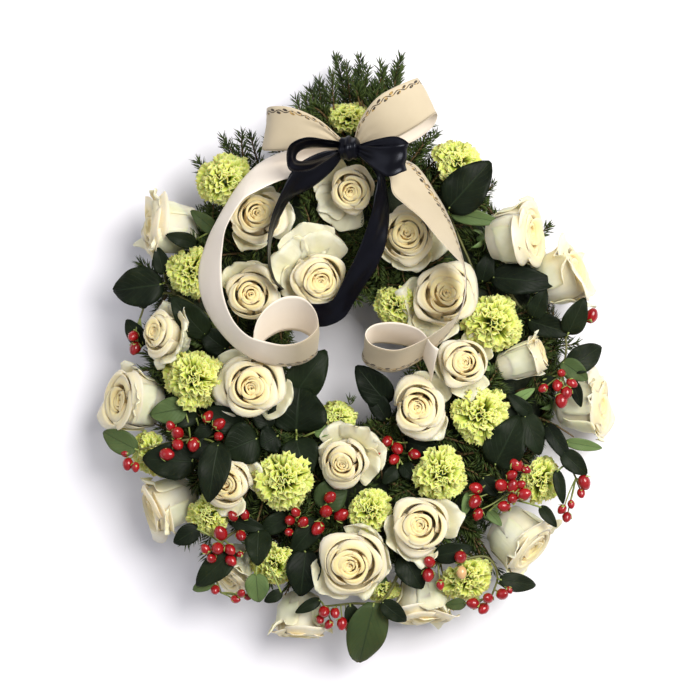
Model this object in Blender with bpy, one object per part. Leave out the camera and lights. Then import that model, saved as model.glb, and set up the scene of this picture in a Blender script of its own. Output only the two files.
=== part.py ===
"""A round funeral wreath with a bow, lying flat. Metres, +Z up, +Y toward the bow.

Fir is bound round a straw ring. Roses, carnations and hypericum stand in holes in the fir,
and a black ribbon is tied over a wide cream one at the top.
"""
import math

import bmesh
import bpy
import numpy as np
from mathutils.bvhtree import BVHTree

MM = 0.001
GAP = 0.35  # clearance between separate pieces
UP = np.array([0.0, 0.0, 1.0])

for old in list(bpy.data.objects):
    bpy.data.objects.remove(old)


# Helpers. Every length below is in millimetres, measured from the middle of the ring.

def unit(v):
    v = np.asarray(v, float)
    return v / np.linalg.norm(v)


def direction(azimuth, elevation):
    """The unit vector at an azimuth from +X and an elevation above the table, in degrees."""
    a, e = math.radians(azimuth), math.radians(elevation)
    return np.array([math.cos(e) * math.cos(a), math.cos(e) * math.sin(a), math.sin(e)])


def square_to(axis, hint):
    """Two unit vectors square to the axis, the first as near the hint as it can be."""
    axis = unit(axis)
    hint = np.asarray(hint, float)
    u = unit(hint - axis * hint.dot(axis))
    return u, np.cross(axis, u)


def hint_for(a, b):
    """A direction square to both vectors, so that rings built on either one line up."""
    across = np.cross(a, b)
    if np.linalg.norm(across) > 0.05:
        return across
    return np.cross(a, (0.3, 1.0, 0.1))


class Shell:
    """One closed surface, built ring by ring from its first end to its last."""

    def __init__(self):
        self.points, self.faces, self.last = [], [], None

    def ring(self, points):
        start = len(self.points)
        self.points += [tuple(p) for p in points]
        new, old = list(range(start, len(self.points))), self.last
        if old is None:
            self.faces.append(tuple(reversed(new)))
        elif len(new) == len(old):
            for i in range(len(new)):
                j = (i + 1) % len(new)
                self.faces += [(old[i], old[j], new[j]), (old[i], new[j], new[i])]
        else:
            few, many, rising = (old, new, True) if len(old) < len(new) else (new, old, False)
            k = len(many) // len(few)
            for i, p in enumerate(few):
                for m in range(k):
                    face = (p, many[(i * k + m + 1) % len(many)], many[i * k + m])
                    self.faces.append(face if rising else face[::-1])
                face = (p, few[(i + 1) % len(few)], many[(i * k + k) % len(many)])
                self.faces.append(face if rising else face[::-1])
        self.last = new
        return self

    def tip(self, point):
        self.points.append(tuple(point))
        n = len(self.last)
        for i in range(n):
            self.faces.append((self.last[i], self.last[(i + 1) % n], len(self.points) - 1))
        return self

    def cap(self):
        self.faces.append(tuple(self.last))
        return self


def polygon(centre, axis, hint, radius, sides, turn=0.0):
    """The corners of a regular polygon round a point, anticlockwise about the axis."""
    u, v = square_to(axis, hint)
    a = np.radians(turn) + np.arange(sides) * 2 * math.pi / sides
    return np.asarray(centre) + radius * (np.outer(np.cos(a), u) + np.outer(np.sin(a), v))


def tube(points, radii, sides=4, hint=None):
    """A closed tube through the points, with a radius at each."""
    points = np.asarray(points, float)
    shell = Shell()
    hint = hint_for(points[1] - points[0], UP) if hint is None else hint
    for i, p in enumerate(points):
        ahead = unit(points[i + 1] - p) if i + 1 < len(points) else 0
        behind = unit(p - points[i - 1]) if i else 0
        shell.ring(polygon(p, ahead + behind, hint, radii[i], sides))
        hint = square_to(ahead + behind, hint)[0]
    return shell.cap()


def make_object(name, shell, material):
    mesh = bpy.data.meshes.new(name)
    mesh.from_pydata([tuple(MM * c for c in p) for p in shell.points], [], shell.faces)
    mesh.materials.append(material)
    obj = bpy.data.objects.new(name, mesh)
    bpy.context.scene.collection.objects.link(obj)
    return obj


def boolean(obj, shells, operation):
    """One Boolean between the object and a collection of shells, applied."""
    if not shells:
        return obj
    group = bpy.data.collections.new(obj.name + "_pieces")
    for shell in shells:
        piece = make_object(obj.name + "_piece", shell, obj.data.materials[0])
        bpy.context.scene.collection.objects.unlink(piece)
        group.objects.link(piece)
    modifier = obj.modifiers.new(operation, "BOOLEAN")
    modifier.operand_type = "COLLECTION"
    modifier.collection = group
    modifier.operation = operation
    modifier.solver = "MANIFOLD"
    bpy.context.view_layer.objects.active = obj
    bpy.context.view_layer.update()
    bpy.ops.object.modifier_apply(modifier=modifier.name)
    for piece in list(group.objects):
        bpy.data.objects.remove(piece)
    bpy.data.collections.remove(group)
    drop_scraps(obj)
    return obj


def drop_scraps(obj):
    """Removes the loose crumbs that a Boolean can leave beside the body."""
    mesh = bmesh.new()
    mesh.from_mesh(obj.data)
    groups, seen = [], set()
    for start in mesh.verts:
        if start in seen:
            continue
        group, todo = [], [start]
        seen.add(start)
        while todo:
            vert = todo.pop()
            group.append(vert)
            for edge in vert.link_edges:
                other = edge.other_vert(vert)
                if other not in seen:
                    seen.add(other)
                    todo.append(other)
        groups.append(group)
    groups.sort(key=len)
    bmesh.ops.delete(mesh, geom=[v for g in groups[:-1] if len(g) < 24 for v in g], context="VERTS")
    mesh.to_mesh(obj.data)
    mesh.free()


def plain_material(name, colour, roughness):
    material = bpy.data.materials.new(name)
    material.use_nodes = True
    shader = material.node_tree.nodes["Principled BSDF"]
    shader.inputs["Base Color"].default_value = (*colour, 1.0)
    shader.inputs["Roughness"].default_value = roughness
    return material


# The straw ring and the coat of fir round it.

SECTOR_EDGES = (5.0, 56.5, 121.0, 180.6, 244.8, 302.0)  # where one bound bundle of fir meets the next
STEPS = 3  # straight runs round each sector
STRAW = ((99, 0), (177, 0), (179.5, 38), (138, 54.5), (97.5, 38))
COAT = ((72, 2), (97, 2), (97, 40), (138, 57), (180, 40), (180, 2), (203, 2), (205, 30), (190, 60),
        (138, 74), (85, 62), (70, 30))


def sector_angles(i, inset=0.0):
    start, end = SECTOR_EDGES[i], SECTOR_EDGES[(i + 1) % len(SECTOR_EDGES)]
    end += 360.0 if end < start else 0.0
    return np.linspace(start + inset, end - inset, STEPS + 1)


def turned(profile, angles, closed):
    """A profile of radius and height carried round the angles."""
    shell = Shell()
    for angle in angles:
        a = math.radians(angle)
        shell.ring([(r * math.cos(a), r * math.sin(a), z) for r, z in reversed(profile)])
    if not closed:
        return shell.cap()
    n = len(profile)
    first, last = list(range(n)), shell.last
    shell.faces.pop(0)
    for i in range(n):
        j = (i + 1) % n
        shell.faces += [(last[i], last[j], first[j]), (last[i], first[j], first[i])]
    return shell


def coat_top(radius):
    """Height of the fir coat's upper face at a distance from the middle."""
    return float(np.interp(radius, (70, 85, 138, 190, 205), (30, 62, 74, 60, 30)))


# Roses: x, y and z of the middle of the mouth, azimuth and elevation of the way it faces,
# radius of the mouth, length of the bloom. A bud is longer and narrower.

ROSES = (
    (-190, 132, 66, 176, 15, 29, 60, 0), (-97, 141, 110, 90, 80, 28, 50, 0),
    (-4, 160, 108, 250, 80, 29, 50, 0), (-35, 80, 108, -40, 72, 29, 50, 0),
    (-103, 63, 110, 80, 85, 27, 50, 0), (53, 122, 108, 160, 85, 29, 50, 0),
    (89, 62, 108, 60, 84, 34, 52, 0), (164, 123, 98, 5, 25, 31, 58, 0),
    (210, 83, 74, 22, 18, 30, 58, 0), (110, -5, 110, 0, 86, 26, 50, 0),
    (187, 4, 96, 19, 14, 19, 60, 1), (236, -48, 56, 0, 16, 30, 58, 0),
    (64, -49, 108, 120, 82, 30, 50, 0), (-10, -101, 108, 250, 76, 29, 50, 0),
    (-101, -28, 110, 180, 84, 32, 52, 0), (-190, 24, 93, 165, 45, 23, 52, 0),
    (-224, -44, 66, 172, 32, 32, 56, 0), (-190, -148, 56, 202, 15, 27, 58, 0),
    (-124, -125, 106, 200, 80, 26, 48, 0), (-2, -203, 106, 270, 78, 35, 54, 0),
    (67, -167, 108, 100, 84, 30, 50, 0), (168, -184, 66, -42, 22, 32, 58, 0),
    (71, -248, 52, -90, 15, 30, 58, 0), (-55, -266, 46, -92, 12, 26, 54, 0),
    (-121, -213, 62, 240, 25, 20, 48, 0),
)

# Carnations: the middle of the head, the way it faces, its radius and the length of head and calyx.

CARNATIONS = (
    (-129, 177, 84, 125, 62, 26), (-4, 240, 66, 90, 25, 22), (103, 195, 82, 60, 60, 23),
    (-162, 86, 92, 150, 72, 24), (-159, -21, 92, 190, 72, 28), (43, 52, 84, 230, 60, 21.5),
    (139, 35, 92, 20, 80, 27), (126, -57, 92, 320, 80, 27), (87, -116, 92, 300, 84, 25),
    (-70, -122, 92, 240, 84, 28), (16, -153, 88, 270, 84, 21), (-203, -97, 62, 205, 35, 22),
    (-146, -158, 80, 225, 60, 20), (-79, -207, 72, 250, 50, 22), (187, -123, 74, -30, 45, 23),
    (113, -221, 72, -65, 40, 25), (-16, -59, 76, 90, 45, 17), (31, -234, 62, -80, 20, 16),
)
ROSE_STEM, CARNATION_STEM = 3.0, 2.6
STEM_DEPTH = 13.0


def footing(base):
    """Where the stem of a bloom ends in the fir coat below or behind it."""
    reach = math.hypot(base[0], base[1])
    angle = math.atan2(base[1], base[0])
    if reach > 186:
        r, z = 189.5, min(max(base[2] - 12, 12.0), 34.0)
    else:
        r = min(max(reach, 86.0), 170.0)
        z = coat_top(r) - STEM_DEPTH
    return np.array([r * math.cos(angle), r * math.sin(angle), z])


def hole_for(root, base, axis, radius):
    """The plain hole that a stem stands in: the stem's own shape, a little wider and deeper."""
    way = unit(base - root)
    hint = hint_for(base - root, axis)
    shell = Shell()
    shell.ring(polygon(root - 0.4 * way, way, hint, radius + GAP, 4))
    shell.ring(polygon(base, axis, hint, radius + GAP, 4))
    return shell.cap()


def stem_start(root, base, axis, radius):
    """A shell begun as a square stem from its root to the base of a bloom."""
    way = base - root
    hint = hint_for(way, axis)
    shell = Shell()
    shell.ring(polygon(root, way, hint, radius, 4))
    shell.ring(polygon(base, axis, hint, radius, 4))
    return shell, hint


def petal_ring(base, axis, hint, height, radius, step, droop, turn):
    """Twelve points of four petals: each has a free edge, a middle and an edge that tucks under."""
    u, v = square_to(axis, hint)
    points = []
    for petal in range(4):
        for angle, r, h in ((10, 1 + step, -droop), (45, 1 + 0.4 * step, droop), (80, 1 - step, -droop)):
            a = math.radians(turn + 90 * petal + angle)
            points.append(base + axis * (height + h)
                          + radius * r * (math.cos(a) * u + math.sin(a) * v))
    return points


def rose(name, placing, material):
    x, y, z, azimuth, elevation, radius, length, bud = placing
    axis = direction(azimuth, elevation)
    base = np.array([x, y, z]) - axis * length * (0.86 if bud else 0.62)
    root = footing(base)
    shell, hint = stem_start(root, base, axis, ROSE_STEM)
    at = lambda h, r, step, droop, turn: shell.ring(
        petal_ring(base, axis, hint, h * length, r * radius, step, droop * length, turn))
    if bud:
        at(0.12, 0.42, 0.0, 0.0, 0)
        at(0.50, 0.92, 0.05, 0.02, 0)
        at(0.86, 1.0, 0.10, 0.04, 0)
        at(0.74, 0.66, 0.05, 0.0, 0)
        at(0.98, 0.62, 0.10, 0.02, 45)
        at(0.86, 0.36, 0.05, 0.0, 45)
    else:
        if elevation < 60:
            at(0.10, 0.30, 0.0, 0.0, 0)
        at(0.34, 0.78, 0.04, 0.02, 0)
        at(0.62, 1.0, 0.09, 0.04, 0)
        at(0.48, 0.66, 0.05, 0.0, 0)
        at(0.86, 0.68, 0.09, 0.03, 45)
        at(0.66, 0.42, 0.05, 0.0, 45)
        at(0.97, 0.40, 0.12, 0.02, 90)
    shell.tip(base + axis * 0.84 * length)
    return make_object(name, shell, material), root, base, axis, ROSE_STEM


def ruffle(base, axis, hint, height, radius, wave, turn):
    """Twelve points of a fringed rim, every other one longer and higher."""
    u, v = square_to(axis, hint)
    points = []
    for i in range(12):
        a = math.radians(turn + 30 * i)
        out = radius * (1 + wave * (-1) ** i)
        points.append(base + axis * (height + 9 * wave * (-1) ** i)
                      + out * (math.cos(a) * u + math.sin(a) * v))
    return points


def carnation(name, placing, material):
    x, y, z, azimuth, elevation, radius = placing
    axis = direction(azimuth, elevation)
    base = np.array([x, y, z]) - axis * (8 + 0.35 * radius)
    root = footing(base)
    shell, hint = stem_start(root, base, axis, CARNATION_STEM)
    calyx = 6 + 0.2 * radius
    shell.ring(polygon(base + axis * calyx, axis, hint, 0.28 * radius, 4))
    for height, r, wave in ((0.26, 1.0, 0.09), (0.36, 0.70, 0.03), (0.67, 0.76, 0.12),
                            (0.56, 0.46, 0.04), (0.84, 0.42, 0.16)):
        shell.ring(ruffle(base, axis, hint, calyx + height * radius, r * radius, wave, 0))
    shell.tip(base + axis * (calyx + 0.70 * radius))
    return make_object(name, shell, material), root, base, axis, CARNATION_STEM


# Hypericum: leafy stems with berries, each standing in the fir by its own root.
# A leaf is its base, its tip and its width. A berry is its middle and its radius.

def leaf(start, base, tip, width, fold=0.12, arch=0.10):
    """A leaf folded along its midrib and arched, on a stalk from the stem."""
    start, base, tip = (np.asarray(p, float) for p in (start, base, tip))
    along = tip - base
    side = unit(np.cross(UP, along))
    face = unit(np.cross(along, side))
    thick, size = 0.8, np.linalg.norm(along)
    stalk = unit(base - start)
    shell = Shell()
    shell.ring(polygon(start, 1.6 * stalk + unit(along), side, 0.9, 4))
    if np.linalg.norm(base - start) > 11:
        shell.ring(polygon(base, stalk + 1.6 * unit(along), side, 0.9, 4))
    for t, w in ((0.36, 1.0), (0.72, 0.74)) if width > 12 else ((0.45, 1.0),):
        middle = base + along * t + face * arch * size * math.sin(math.pi * t)
        half = max(0.5 * width * w, 1.0)
        rise = fold * width * w
        shell.ring([middle + side * half + face * rise, middle + face * thick,
                    middle - side * half + face * rise, middle - face * thick])
    return shell.tip(tip)


def berry(start, middle, radius):
    """A six-sided berry on a thin three-sided stalk."""
    start, middle = np.asarray(start, float), np.asarray(middle, float)
    axis = unit(middle - start)
    hint = hint_for(axis, UP)
    shell = Shell()
    shell.ring(polygon(start, axis, hint, 0.8, 3))
    shell.ring(polygon(middle - axis * 0.95 * radius, axis, hint, 0.35 * radius, 3))
    shell.ring(polygon(middle + axis * 0.05 * radius, axis, hint, radius * 1.08, 6, -30))
    return shell.tip(middle + axis * 1.1 * radius)


def nearest_on(paths, point):
    """The point of the branch's stems that is nearest to a point."""
    best, found = None, None
    for path in paths:
        for a, b in zip(path[:-1], path[1:]):
            a, b, p = (np.asarray(q, float) for q in (a, b, point))
            t = min(max(np.dot(p - a, b - a) / np.dot(b - a, b - a), 0.03), 0.97)
            near = a + t * (b - a)
            if best is None or np.linalg.norm(p - near) < best:
                best, found = np.linalg.norm(p - near), near
    return found


BRANCHES = {
    "hypericum_left": {
        "stems": [[(-141, 40, 60), (-149, 44, 80), (-180, 64, 78), (-206, 60, 72), (-216, 40, 66)],
                  [(-178, 63, 78), (-190, 84, 80), (-166, 116, 80)]],
        "leaves": [(-192, 74, 86, -238, 68, 76, 30), (-212, 12, 64, -228, 36, 60, 14),
                   (-214, 50, 72, -208, 64, 80, 8), (-148, 22, 90, -178, 56, 98, 22),
                   (-128, 8, 82, -150, 26, 88, 20), (-140, 128, 84, -160, 145, 92, 12),
                   (-158, 114, 88, -184, 122, 98, 12), (-190, 84, 88, -196, 108, 90, 13)],
        "berries": [(-222, 22, 72, 5), (-220, 10, 70, 5.5)],
    },
    "hypericum_lower_left": {
        "stems": [[(-148, -78, 56), (-152, -80, 82), (-180, -84, 88), (-216, -92, 86)]],
        "leaves": [(-168, -50, 90, -200, -56, 92, 20), (-156, -60, 84, -190, -62, 86, 13),
                   (-159, -104, 92, -206, -101, 92, 28), (-142, -66, 86, -158, -80, 88, 12),
                   (-142, -88, 86, -168, -94, 90, 16), (-136, -88, 82, -148, -130, 80, 18),
                   (-218, -92, 84, -249, -76, 76, 18)],
        "berries": [(-183, -68, 96, 4.5), (-176, -75, 98, 6), (-176, -86, 98, 5.5), (-160, -86, 98, 6),
                    (-187, -96, 98, 6), (-146, -59, 92, 5), (-135, -66, 92, 5.5), (-135, -78, 92, 4.5),
                    (-229, -96, 82, 3.5), (-227, -106, 80, 5), (-219, -109, 84, 4)],
    },
    "hypericum_bottom_left": {
        "stems": [[(-100, -155, 48), (-105, -165, 82), (-130, -182, 88), (-142, -206, 88), (-134, -236, 78)],
                  [(-106, -166, 83), (-96, -186, 90)]],
        "leaves": [(-124, -162, 86, -93, -170, 88, 12), (-95, -172, 90, -96, -203, 98, 20),
                   (-120, -192, 92, -154, -224, 86, 20), (-156, -170, 88, -178, -184, 86, 15),
                   (-140, -222, 86, -160, -232, 80, 10), (-98, -216, 92, -96, -242, 86, 18),
                   (-72, -234, 88, -88, -243, 86, 9)],
        "berries": [(-133, -175, 98, 6.5), (-113, -177, 98, 5), (-148, -191, 98, 4.5), (-136, -190, 99, 6),
                    (-124, -191, 98, 5), (-114, -196, 94, 3), (-142, -200, 98, 4.5), (-123, -202, 96, 5),
                    (-121, -158, 94, 4.5), (-109, -157, 92, 4.5), (-139, -232, 86, 4.5),
                    (-119, -242, 80, 4), (-113, -236, 84, 4), (-107, -240, 80, 3)],
    },
    "hypericum_inner_left": {
        "stems": [[(-42, -148, 57), (-44, -150, 81), (-46, -112, 82), (-57, -77, 86), (-97, -80, 82)],
                  [(-44, -151, 81), (-30, -158, 86)], [(-45, -152, 82), (-58, -172, 86), (-56, -190, 86)]],
        "leaves": [(-34, -150, 92, -12, -124, 88, 24), (-36, -162, 88, -60, -192, 88, 18),
                   (-48, -192, 88, -53, -234, 86, 26), (-66, -158, 86, -92, -174, 84, 15),
                   (-62, -40, 86, -32, 2, 92, 28), (-58, -74, 90, -54, -32, 94, 44),
                   (-58, -80, 92, -48, -114, 100, 24), (-97, -84, 90, -122, -92, 92, 22),
                   (-76, -78, 90, -92, -86, 94, 18), (-40, -74, 92, -22, -72, 100, 9)],
        "berries": [(-24, -139, 98, 5.5), (-28, -153, 98, 6), (-13, -157, 90, 6), (-36, -170, 92, 6),
                    (-51, -164, 96, 5), (-58, -154, 98, 4.5), (-64, -162, 94, 5), (-65, -174, 92, 4)],
    },
    "hypericum_inner_right": {
        "stems": [[(44, -98, 54), (43, -97, 80), (37, -80, 86), (36, -50, 88)]],
        "leaves": [(52, -84, 84, 82, -92, 86, 18), (30, -106, 84, 18, -80, 84, 12),
                   (18, -82, 84, 10, -72, 88, 7), (44, -110, 86, 30, -124, 88, 11),
                   (48, -106, 86, 60, -120, 90, 12), (34, -46, 88, 6, -12, 94, 24),
                   (33, -62, 88, 16, -32, 86, 15)],
        "berries": [(33, -83, 98, 5), (27, -93, 96, 5.5), (43, -90, 97, 5.5), (40, -101, 97, 5),
                    (60, -96, 94, 5)],
    },
    "hypericum_upper_right": {
        "stems": [[(150, 74, 53), (151, 74, 81), (126, 80, 85), (112, 106, 86), (96, 142, 96)],
                  [(151, 74, 80), (168, 50, 83), (188, 42, 84), (212, 20, 86), (209, -16, 90)]],
        "leaves": [(208, -4, 92, 231, -20, 90, 15), (188, -22, 84, 206, -26, 86, 9),
                   (218, -22, 92, 226, -46, 92, 9), (214, -10, 92, 245, 10, 84, 20),
                   (174, 38, 86, 212, 26, 88, 18), (214, 24, 90, 228, 56, 100, 18),
                   (128, 76, 88, 135, 102, 92, 15), (137, 81, 92, 194, 75, 98, 22),
                   (178, 40, 90, 190, 66, 98, 14), (93, 148, 104, 131, 190, 110, 32),
                   (97, 144, 102, 140, 136, 106, 12)],
        "berries": [(207, -15, 98, 4), (217, -25, 98, 4.5), (203, -27, 98, 5), (189, -30, 96, 4),
                    (212, -34, 98, 5.5), (207, -42, 98, 6), (238, 42, 84, 6)],
    },
    "hypericum_right": {
        "stems": [[(140, -108, 50), (141, -109, 80), (150, -128, 88), (160, -142, 92)],
                  [(141, -108, 81), (164, -86, 86), (190, -80, 88), (208, -92, 94), (222, -120, 94)]],
        "leaves": [(140, -108, 94, 162, -64, 102, 30), (128, -120, 86, 142, -136, 86, 12),
                   (134, -153, 86, 146, -166, 90, 8), (160, -66, 88, 152, -42, 86, 10),
                   (178, -58, 90, 156, -38, 94, 11), (170, -56, 92, 184, -92, 96, 20),
                   (192, -66, 92, 213, -100, 98, 13), (158, -44, 90, 178, -32, 94, 8),
                   (212, -84, 86, 246, -90, 78, 9), (208, -94, 98, 230, -114, 96, 15),
                   (202, -112, 98, 208, -142, 98, 9), (186, -148, 98, 200, -166, 102, 9),
                   (116, -134, 86, 110, -156, 88, 8)],
        "berries": [(162, -106, 100, 6), (171, -111, 101, 4), (157, -117, 100, 5), (147, -127, 100, 6),
                    (158, -128, 100, 5.5), (166, -126, 101, 4), (169, -136, 100, 6), (158, -140, 100, 5),
                    (150, -148, 98, 5.5), (122, -130, 94, 5.5), (121, -143, 94, 6), (124, -156, 92, 5),
                    (230, -124, 92, 6), (227, -135, 90, 4), (217, -146, 92, 3.5), (208, -151, 92, 4),
                    (213, -159, 88, 4.5)],
    },
    "hypericum_bottom": {
        "stems": [[(44, -170, 51), (45, -173, 82), (52, -202, 88), (80, -205, 94), (102, -203, 97),
                   (132, -199, 92), (144, -218, 86), (138, -240, 82)],
                  [(51, -200, 87), (30, -242, 86), (-4, -247, 78), (-30, -250, 76)]],
        "leaves": [(48, -196, 92, 66, -227, 92, 22), (80, -198, 98, 114, -190, 98, 15),
                   (146, -222, 84, 180, -228, 74, 14), (112, -246, 80, 94, -248, 76, 9),
                   (-34, -242, 82, -56, -254, 82, 9), (-4, -248, 78, 2, -277, 66, 12),
                   (20, -246, 84, 6, -303, 58, 30), (28, -244, 90, 50, -262, 86, 14)],
        "berries": [(75, -203, 104, 5.5), (74, -216, 100, 5.5), (106, -198, 106, 6), (86, -226, 96, 4),
                    (107, -213, 104, 5), (120, -246, 84, 5.5), (134, -240, 92, 5), (130, -251, 84, 5),
                    (148, -236, 92, 5.5), (155, -232, 90, 3), (-30, -254, 86, 5.5), (-34, -262, 82, 4),
                    (-19, -255, 86, 4.5), (-25, -267, 80, 4), (-12, -266, 82, 5), (-6, -271, 78, 3)],
    },
}


def branch(name, parts, material):
    """One body: the stems, the leaves and the berries joined by one Boolean."""
    paths = parts["stems"]
    stems = [tube(path, [1.9] + [1.6] * (len(path) - 2) + [1.1]) for path in paths]
    pieces = stems[1:]
    above = [paths[0][1:]] + paths[1:]
    for item in parts["leaves"]:
        pieces.append(leaf(nearest_on(above, item[:3]), item[:3], item[3:6], item[6]))
    for item in parts["berries"]:
        pieces.append(berry(nearest_on(above, item[:3]), item[:3], item[3]))
    obj = boolean(make_object(name, stems[0], material), pieces, "UNION")
    root, base = np.array(paths[0][0], float), np.array(paths[0][1], float)
    return obj, root, base, base - root, 2.4


# Ribbons: each strip is a row of stations, the two edges of the ribbon at that place.

def strip(stations, thickness):
    """A ribbon of even thickness between two rows of edge points."""
    a = np.array([s[:3] for s in stations], float)
    b = np.array([s[3:] for s in stations], float)
    along = np.gradient((a + b) / 2, axis=0)
    face = np.cross(along, b - a)
    face /= np.linalg.norm(face, axis=1)[:, None]
    h = face * thickness / 2
    shell = Shell()
    n = len(a)
    shell.points = [tuple(p) for p in np.concatenate([a + h, b + h, b - h, a - h])]
    ap, bp, bm, am = (list(range(k * n, k * n + n)) for k in range(4))
    for i in range(n - 1):
        j = i + 1
        shell.faces += [(ap[i], bp[j], ap[j])[::-1], (ap[i], bp[i], bp[j])[::-1],
                        (am[i], bm[j], am[j]), (am[i], bm[i], bm[j]),
                        (bp[i], bm[i], bm[j])[::-1], (bp[i], bm[j], bp[j])[::-1],
                        (am[i], ap[i], ap[j])[::-1], (am[i], ap[j], am[j])[::-1]]
    shell.faces += [(ap[0], bp[0], bm[0], am[0]), (am[-1], bm[-1], bp[-1], ap[-1])]
    return shell


CREAM_STRIPS = (
    # the left loop
    ((-10, 204, 128, -10, 214, 134), (-30, 207, 138, -34, 234, 148), (-55, 205, 142, -60, 245, 158),
     (-80, 204, 138, -80, 247, 152), (-91, 206, 126, -86, 245, 136), (-84, 208, 116, -78, 243, 122),
     (-60, 208, 112, -56, 238, 118), (-35, 208, 118, -33, 228, 124), (-10, 205, 124, -10, 212, 130)),
    # the right loop
    ((0, 204, 128, 0, 214, 134), (18, 212, 140, 6, 234, 150), (40, 216, 146, 22, 254, 164),
     (62, 222, 146, 44, 267, 162), (78, 230, 134, 64, 274, 148), (74, 226, 120, 58, 270, 132),
     (52, 218, 112, 34, 258, 122), (26, 212, 116, 16, 236, 124), (0, 205, 124, 0, 212, 130)),
    # the left tail, ending in a curl that stands on its edge
    ((-8, 211, 128, -10, 205, 126), (-34, 211, 118, -32, 193, 132), (-64, 207, 106, -54, 180, 142),
     (-84, 200, 106, -74, 174, 146), (-101, 188, 110, -95, 164, 152), (-118, 168, 110, -110, 154, 156),
     (-138, 134, 110, -125, 129, 157), (-147, 114, 111, -129, 108, 157), (-154, 88, 114, -130, 88, 158),
     (-152, 62, 114, -128, 62, 158), (-141, 37, 115, -119, 38, 158), (-120, 12, 117, -104, 22, 160),
     (-98, -2, 118, -86, 16, 160), (-76, -8, 118, -68, 13, 160), (-52, -6, 118, -50, 17, 160),
     (-38, 6, 118, -37, 30, 160), (-38, 22, 118, -38, 46, 160), (-52, 36, 118, -50, 59, 160),
     (-70, 37, 118, -68, 60, 160), (-84, 28, 118, -82, 50, 160)),
    # the right tail, which turns on edge and ends in a standing curl
    ((2, 211, 128, 4, 205, 126), (26, 205, 120, 18, 195, 132), (56, 195, 106, 34, 180, 147),
     (68, 184, 114, 38, 162, 152), (80, 165, 120, 50, 150, 158), (89, 150, 122, 66, 136, 165),
     (98, 130, 126, 84, 114, 171), (105, 108, 131, 97, 100, 178), (109, 91, 136, 106, 89, 184),
     (111, 74, 139, 108, 74, 187), (109, 58, 139, 107, 58, 187), (104, 43, 136, 103, 45, 184),
     (92, 22, 124, 92, 34, 170), (66, -2, 114, 68, 18, 160), (38, -14, 112, 42, 8, 158),
     (14, -8, 112, 18, 13, 158), (8, 4, 112, 11, 24, 158), (18, 14, 112, 20, 33, 158),
     (40, 14, 112, 42, 35, 158), (62, 8, 112, 64, 28, 158), (76, -6, 112, 78, 14, 158)),
)
BLACK_STRIPS = (
    # the left loop
    ((-12, 206, 146, -12, 210, 158), (-24, 211, 156, -26, 217, 176), (-44, 211, 158, -46, 218, 180),
     (-56, 205, 158, -63, 208, 180), (-59, 198, 158, -66, 197, 180), (-54, 192, 158, -60, 187, 179),
     (-40, 192, 156, -44, 186, 177), (-26, 198, 153, -28, 195, 170), (-12, 203, 145, -12, 205, 156)),
    # the right loop
    ((2, 206, 146, 2, 210, 158), (18, 209, 156, 20, 216, 177), (34, 212, 158, 36, 221, 180),
     (45, 207, 158, 51, 212, 180), (48, 200, 158, 55, 202, 180), (44, 192, 158, 50, 190, 180),
     (30, 189, 158, 34, 181, 179), (12, 195, 154, 11, 188, 172), (2, 203, 145, 2, 205, 156)),
    # the left tail
    ((-12, 205, 147, -10, 200, 145), (-34, 198, 148, -27, 188, 144), (-61, 180, 151, -49, 166, 140),
     (-77, 163, 151, -63, 153, 134), (-87, 145, 151, -73, 140, 132), (-87, 125, 153, -80, 124, 130),
     (-85, 105, 151, -82, 105, 127), (-84, 89, 147, -82, 89, 123), (-79, 76, 141, -77, 77, 117),
     (-71, 67, 135, -69, 68, 111)),
    # the right tail, with its end folded aside
    ((0, 200, 145, 4, 205, 147), (15, 189, 150, 25, 193, 149), (23, 176, 151, 31, 172, 139),
     (20, 158, 151, 34, 154, 131), (17, 142, 149, 34, 133, 131), (9, 118, 139, 31, 111, 131),
     (0, 97, 132, 22, 89, 124), (-10, 78, 127, 11, 73, 118), (-18, 62, 122, 0, 55, 114),
     (-25, 56, 118, -10, 40, 111), (-34, 54, 114, -26, 32, 107), (-44, 54, 111, -42, 31, 104)),
)
CREAM_KNOT, BLACK_KNOT = (-5, 208, 131.5), (-5, 206, 150.2)
CREAM_PICK = ((-14, 184, 49), (-12, 205, 126))


def ribbon(name, strips, thickness, knot, knot_radius, picks, material):
    """The loops and tails of a bow, joined in its knot by one Boolean."""
    x, y, z = knot
    body = tube([(x - 11, y, z), (x - 6, y, z), (x + 6, y, z), (x + 11, y, z)],
                [0.6 * knot_radius, knot_radius, knot_radius, 0.6 * knot_radius], 8, (0, 1, 0.4))
    pieces = [strip(s, thickness) for s in strips] + picks
    return boolean(make_object(name, body, material), pieces, "UNION")


# Fir: loose sprays stand out of the coat wherever the flowers leave room. A spray is a twig
# with needles to both sides of it and above. These are rooted by hand, the rest by a seeded draw.

FAN = (
    (-30, 186, 54, -58, 259, 76), (-42, 183, 54, -72, 244, 88), (-15, 196, 26, -19, 304, 42),
    (9, 196, 26, 5, 303, 44), (22, 192, 40, 26, 296, 62), (32, 188, 46, 47, 302, 70),
    (50, 182, 52, 74, 240, 86), (-94, 168, 54, -112, 226, 82),
    (-112, 156, 54, -156, 198, 70), (122, 142, 54, 139, 174, 82), (-8, -78, 60, -4, -42, 84),
)
DRAWN_SPRAYS = 9
NEEDLE_PITCH, NEEDLE_LENGTH = 7.0, 15.0
CLEARANCE = 0.9


def tree_of(obj):
    points = [v.co / MM for v in obj.data.vertices]
    return BVHTree.FromPolygons(points, [tuple(p.vertices) for p in obj.data.polygons])


def tree_of_shell(shell):
    return BVHTree.FromPolygons(shell.points, shell.faces)


def is_clear(start, end, trees, margin):
    steps = max(2, int(np.linalg.norm(end - start) / 1.5))
    for t in np.linspace(0, 1, steps + 1):
        point = tuple(start + t * (end - start))
        if any(tree.find_nearest(point, margin)[0] is not None for tree in trees):
            return False
    return True


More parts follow.
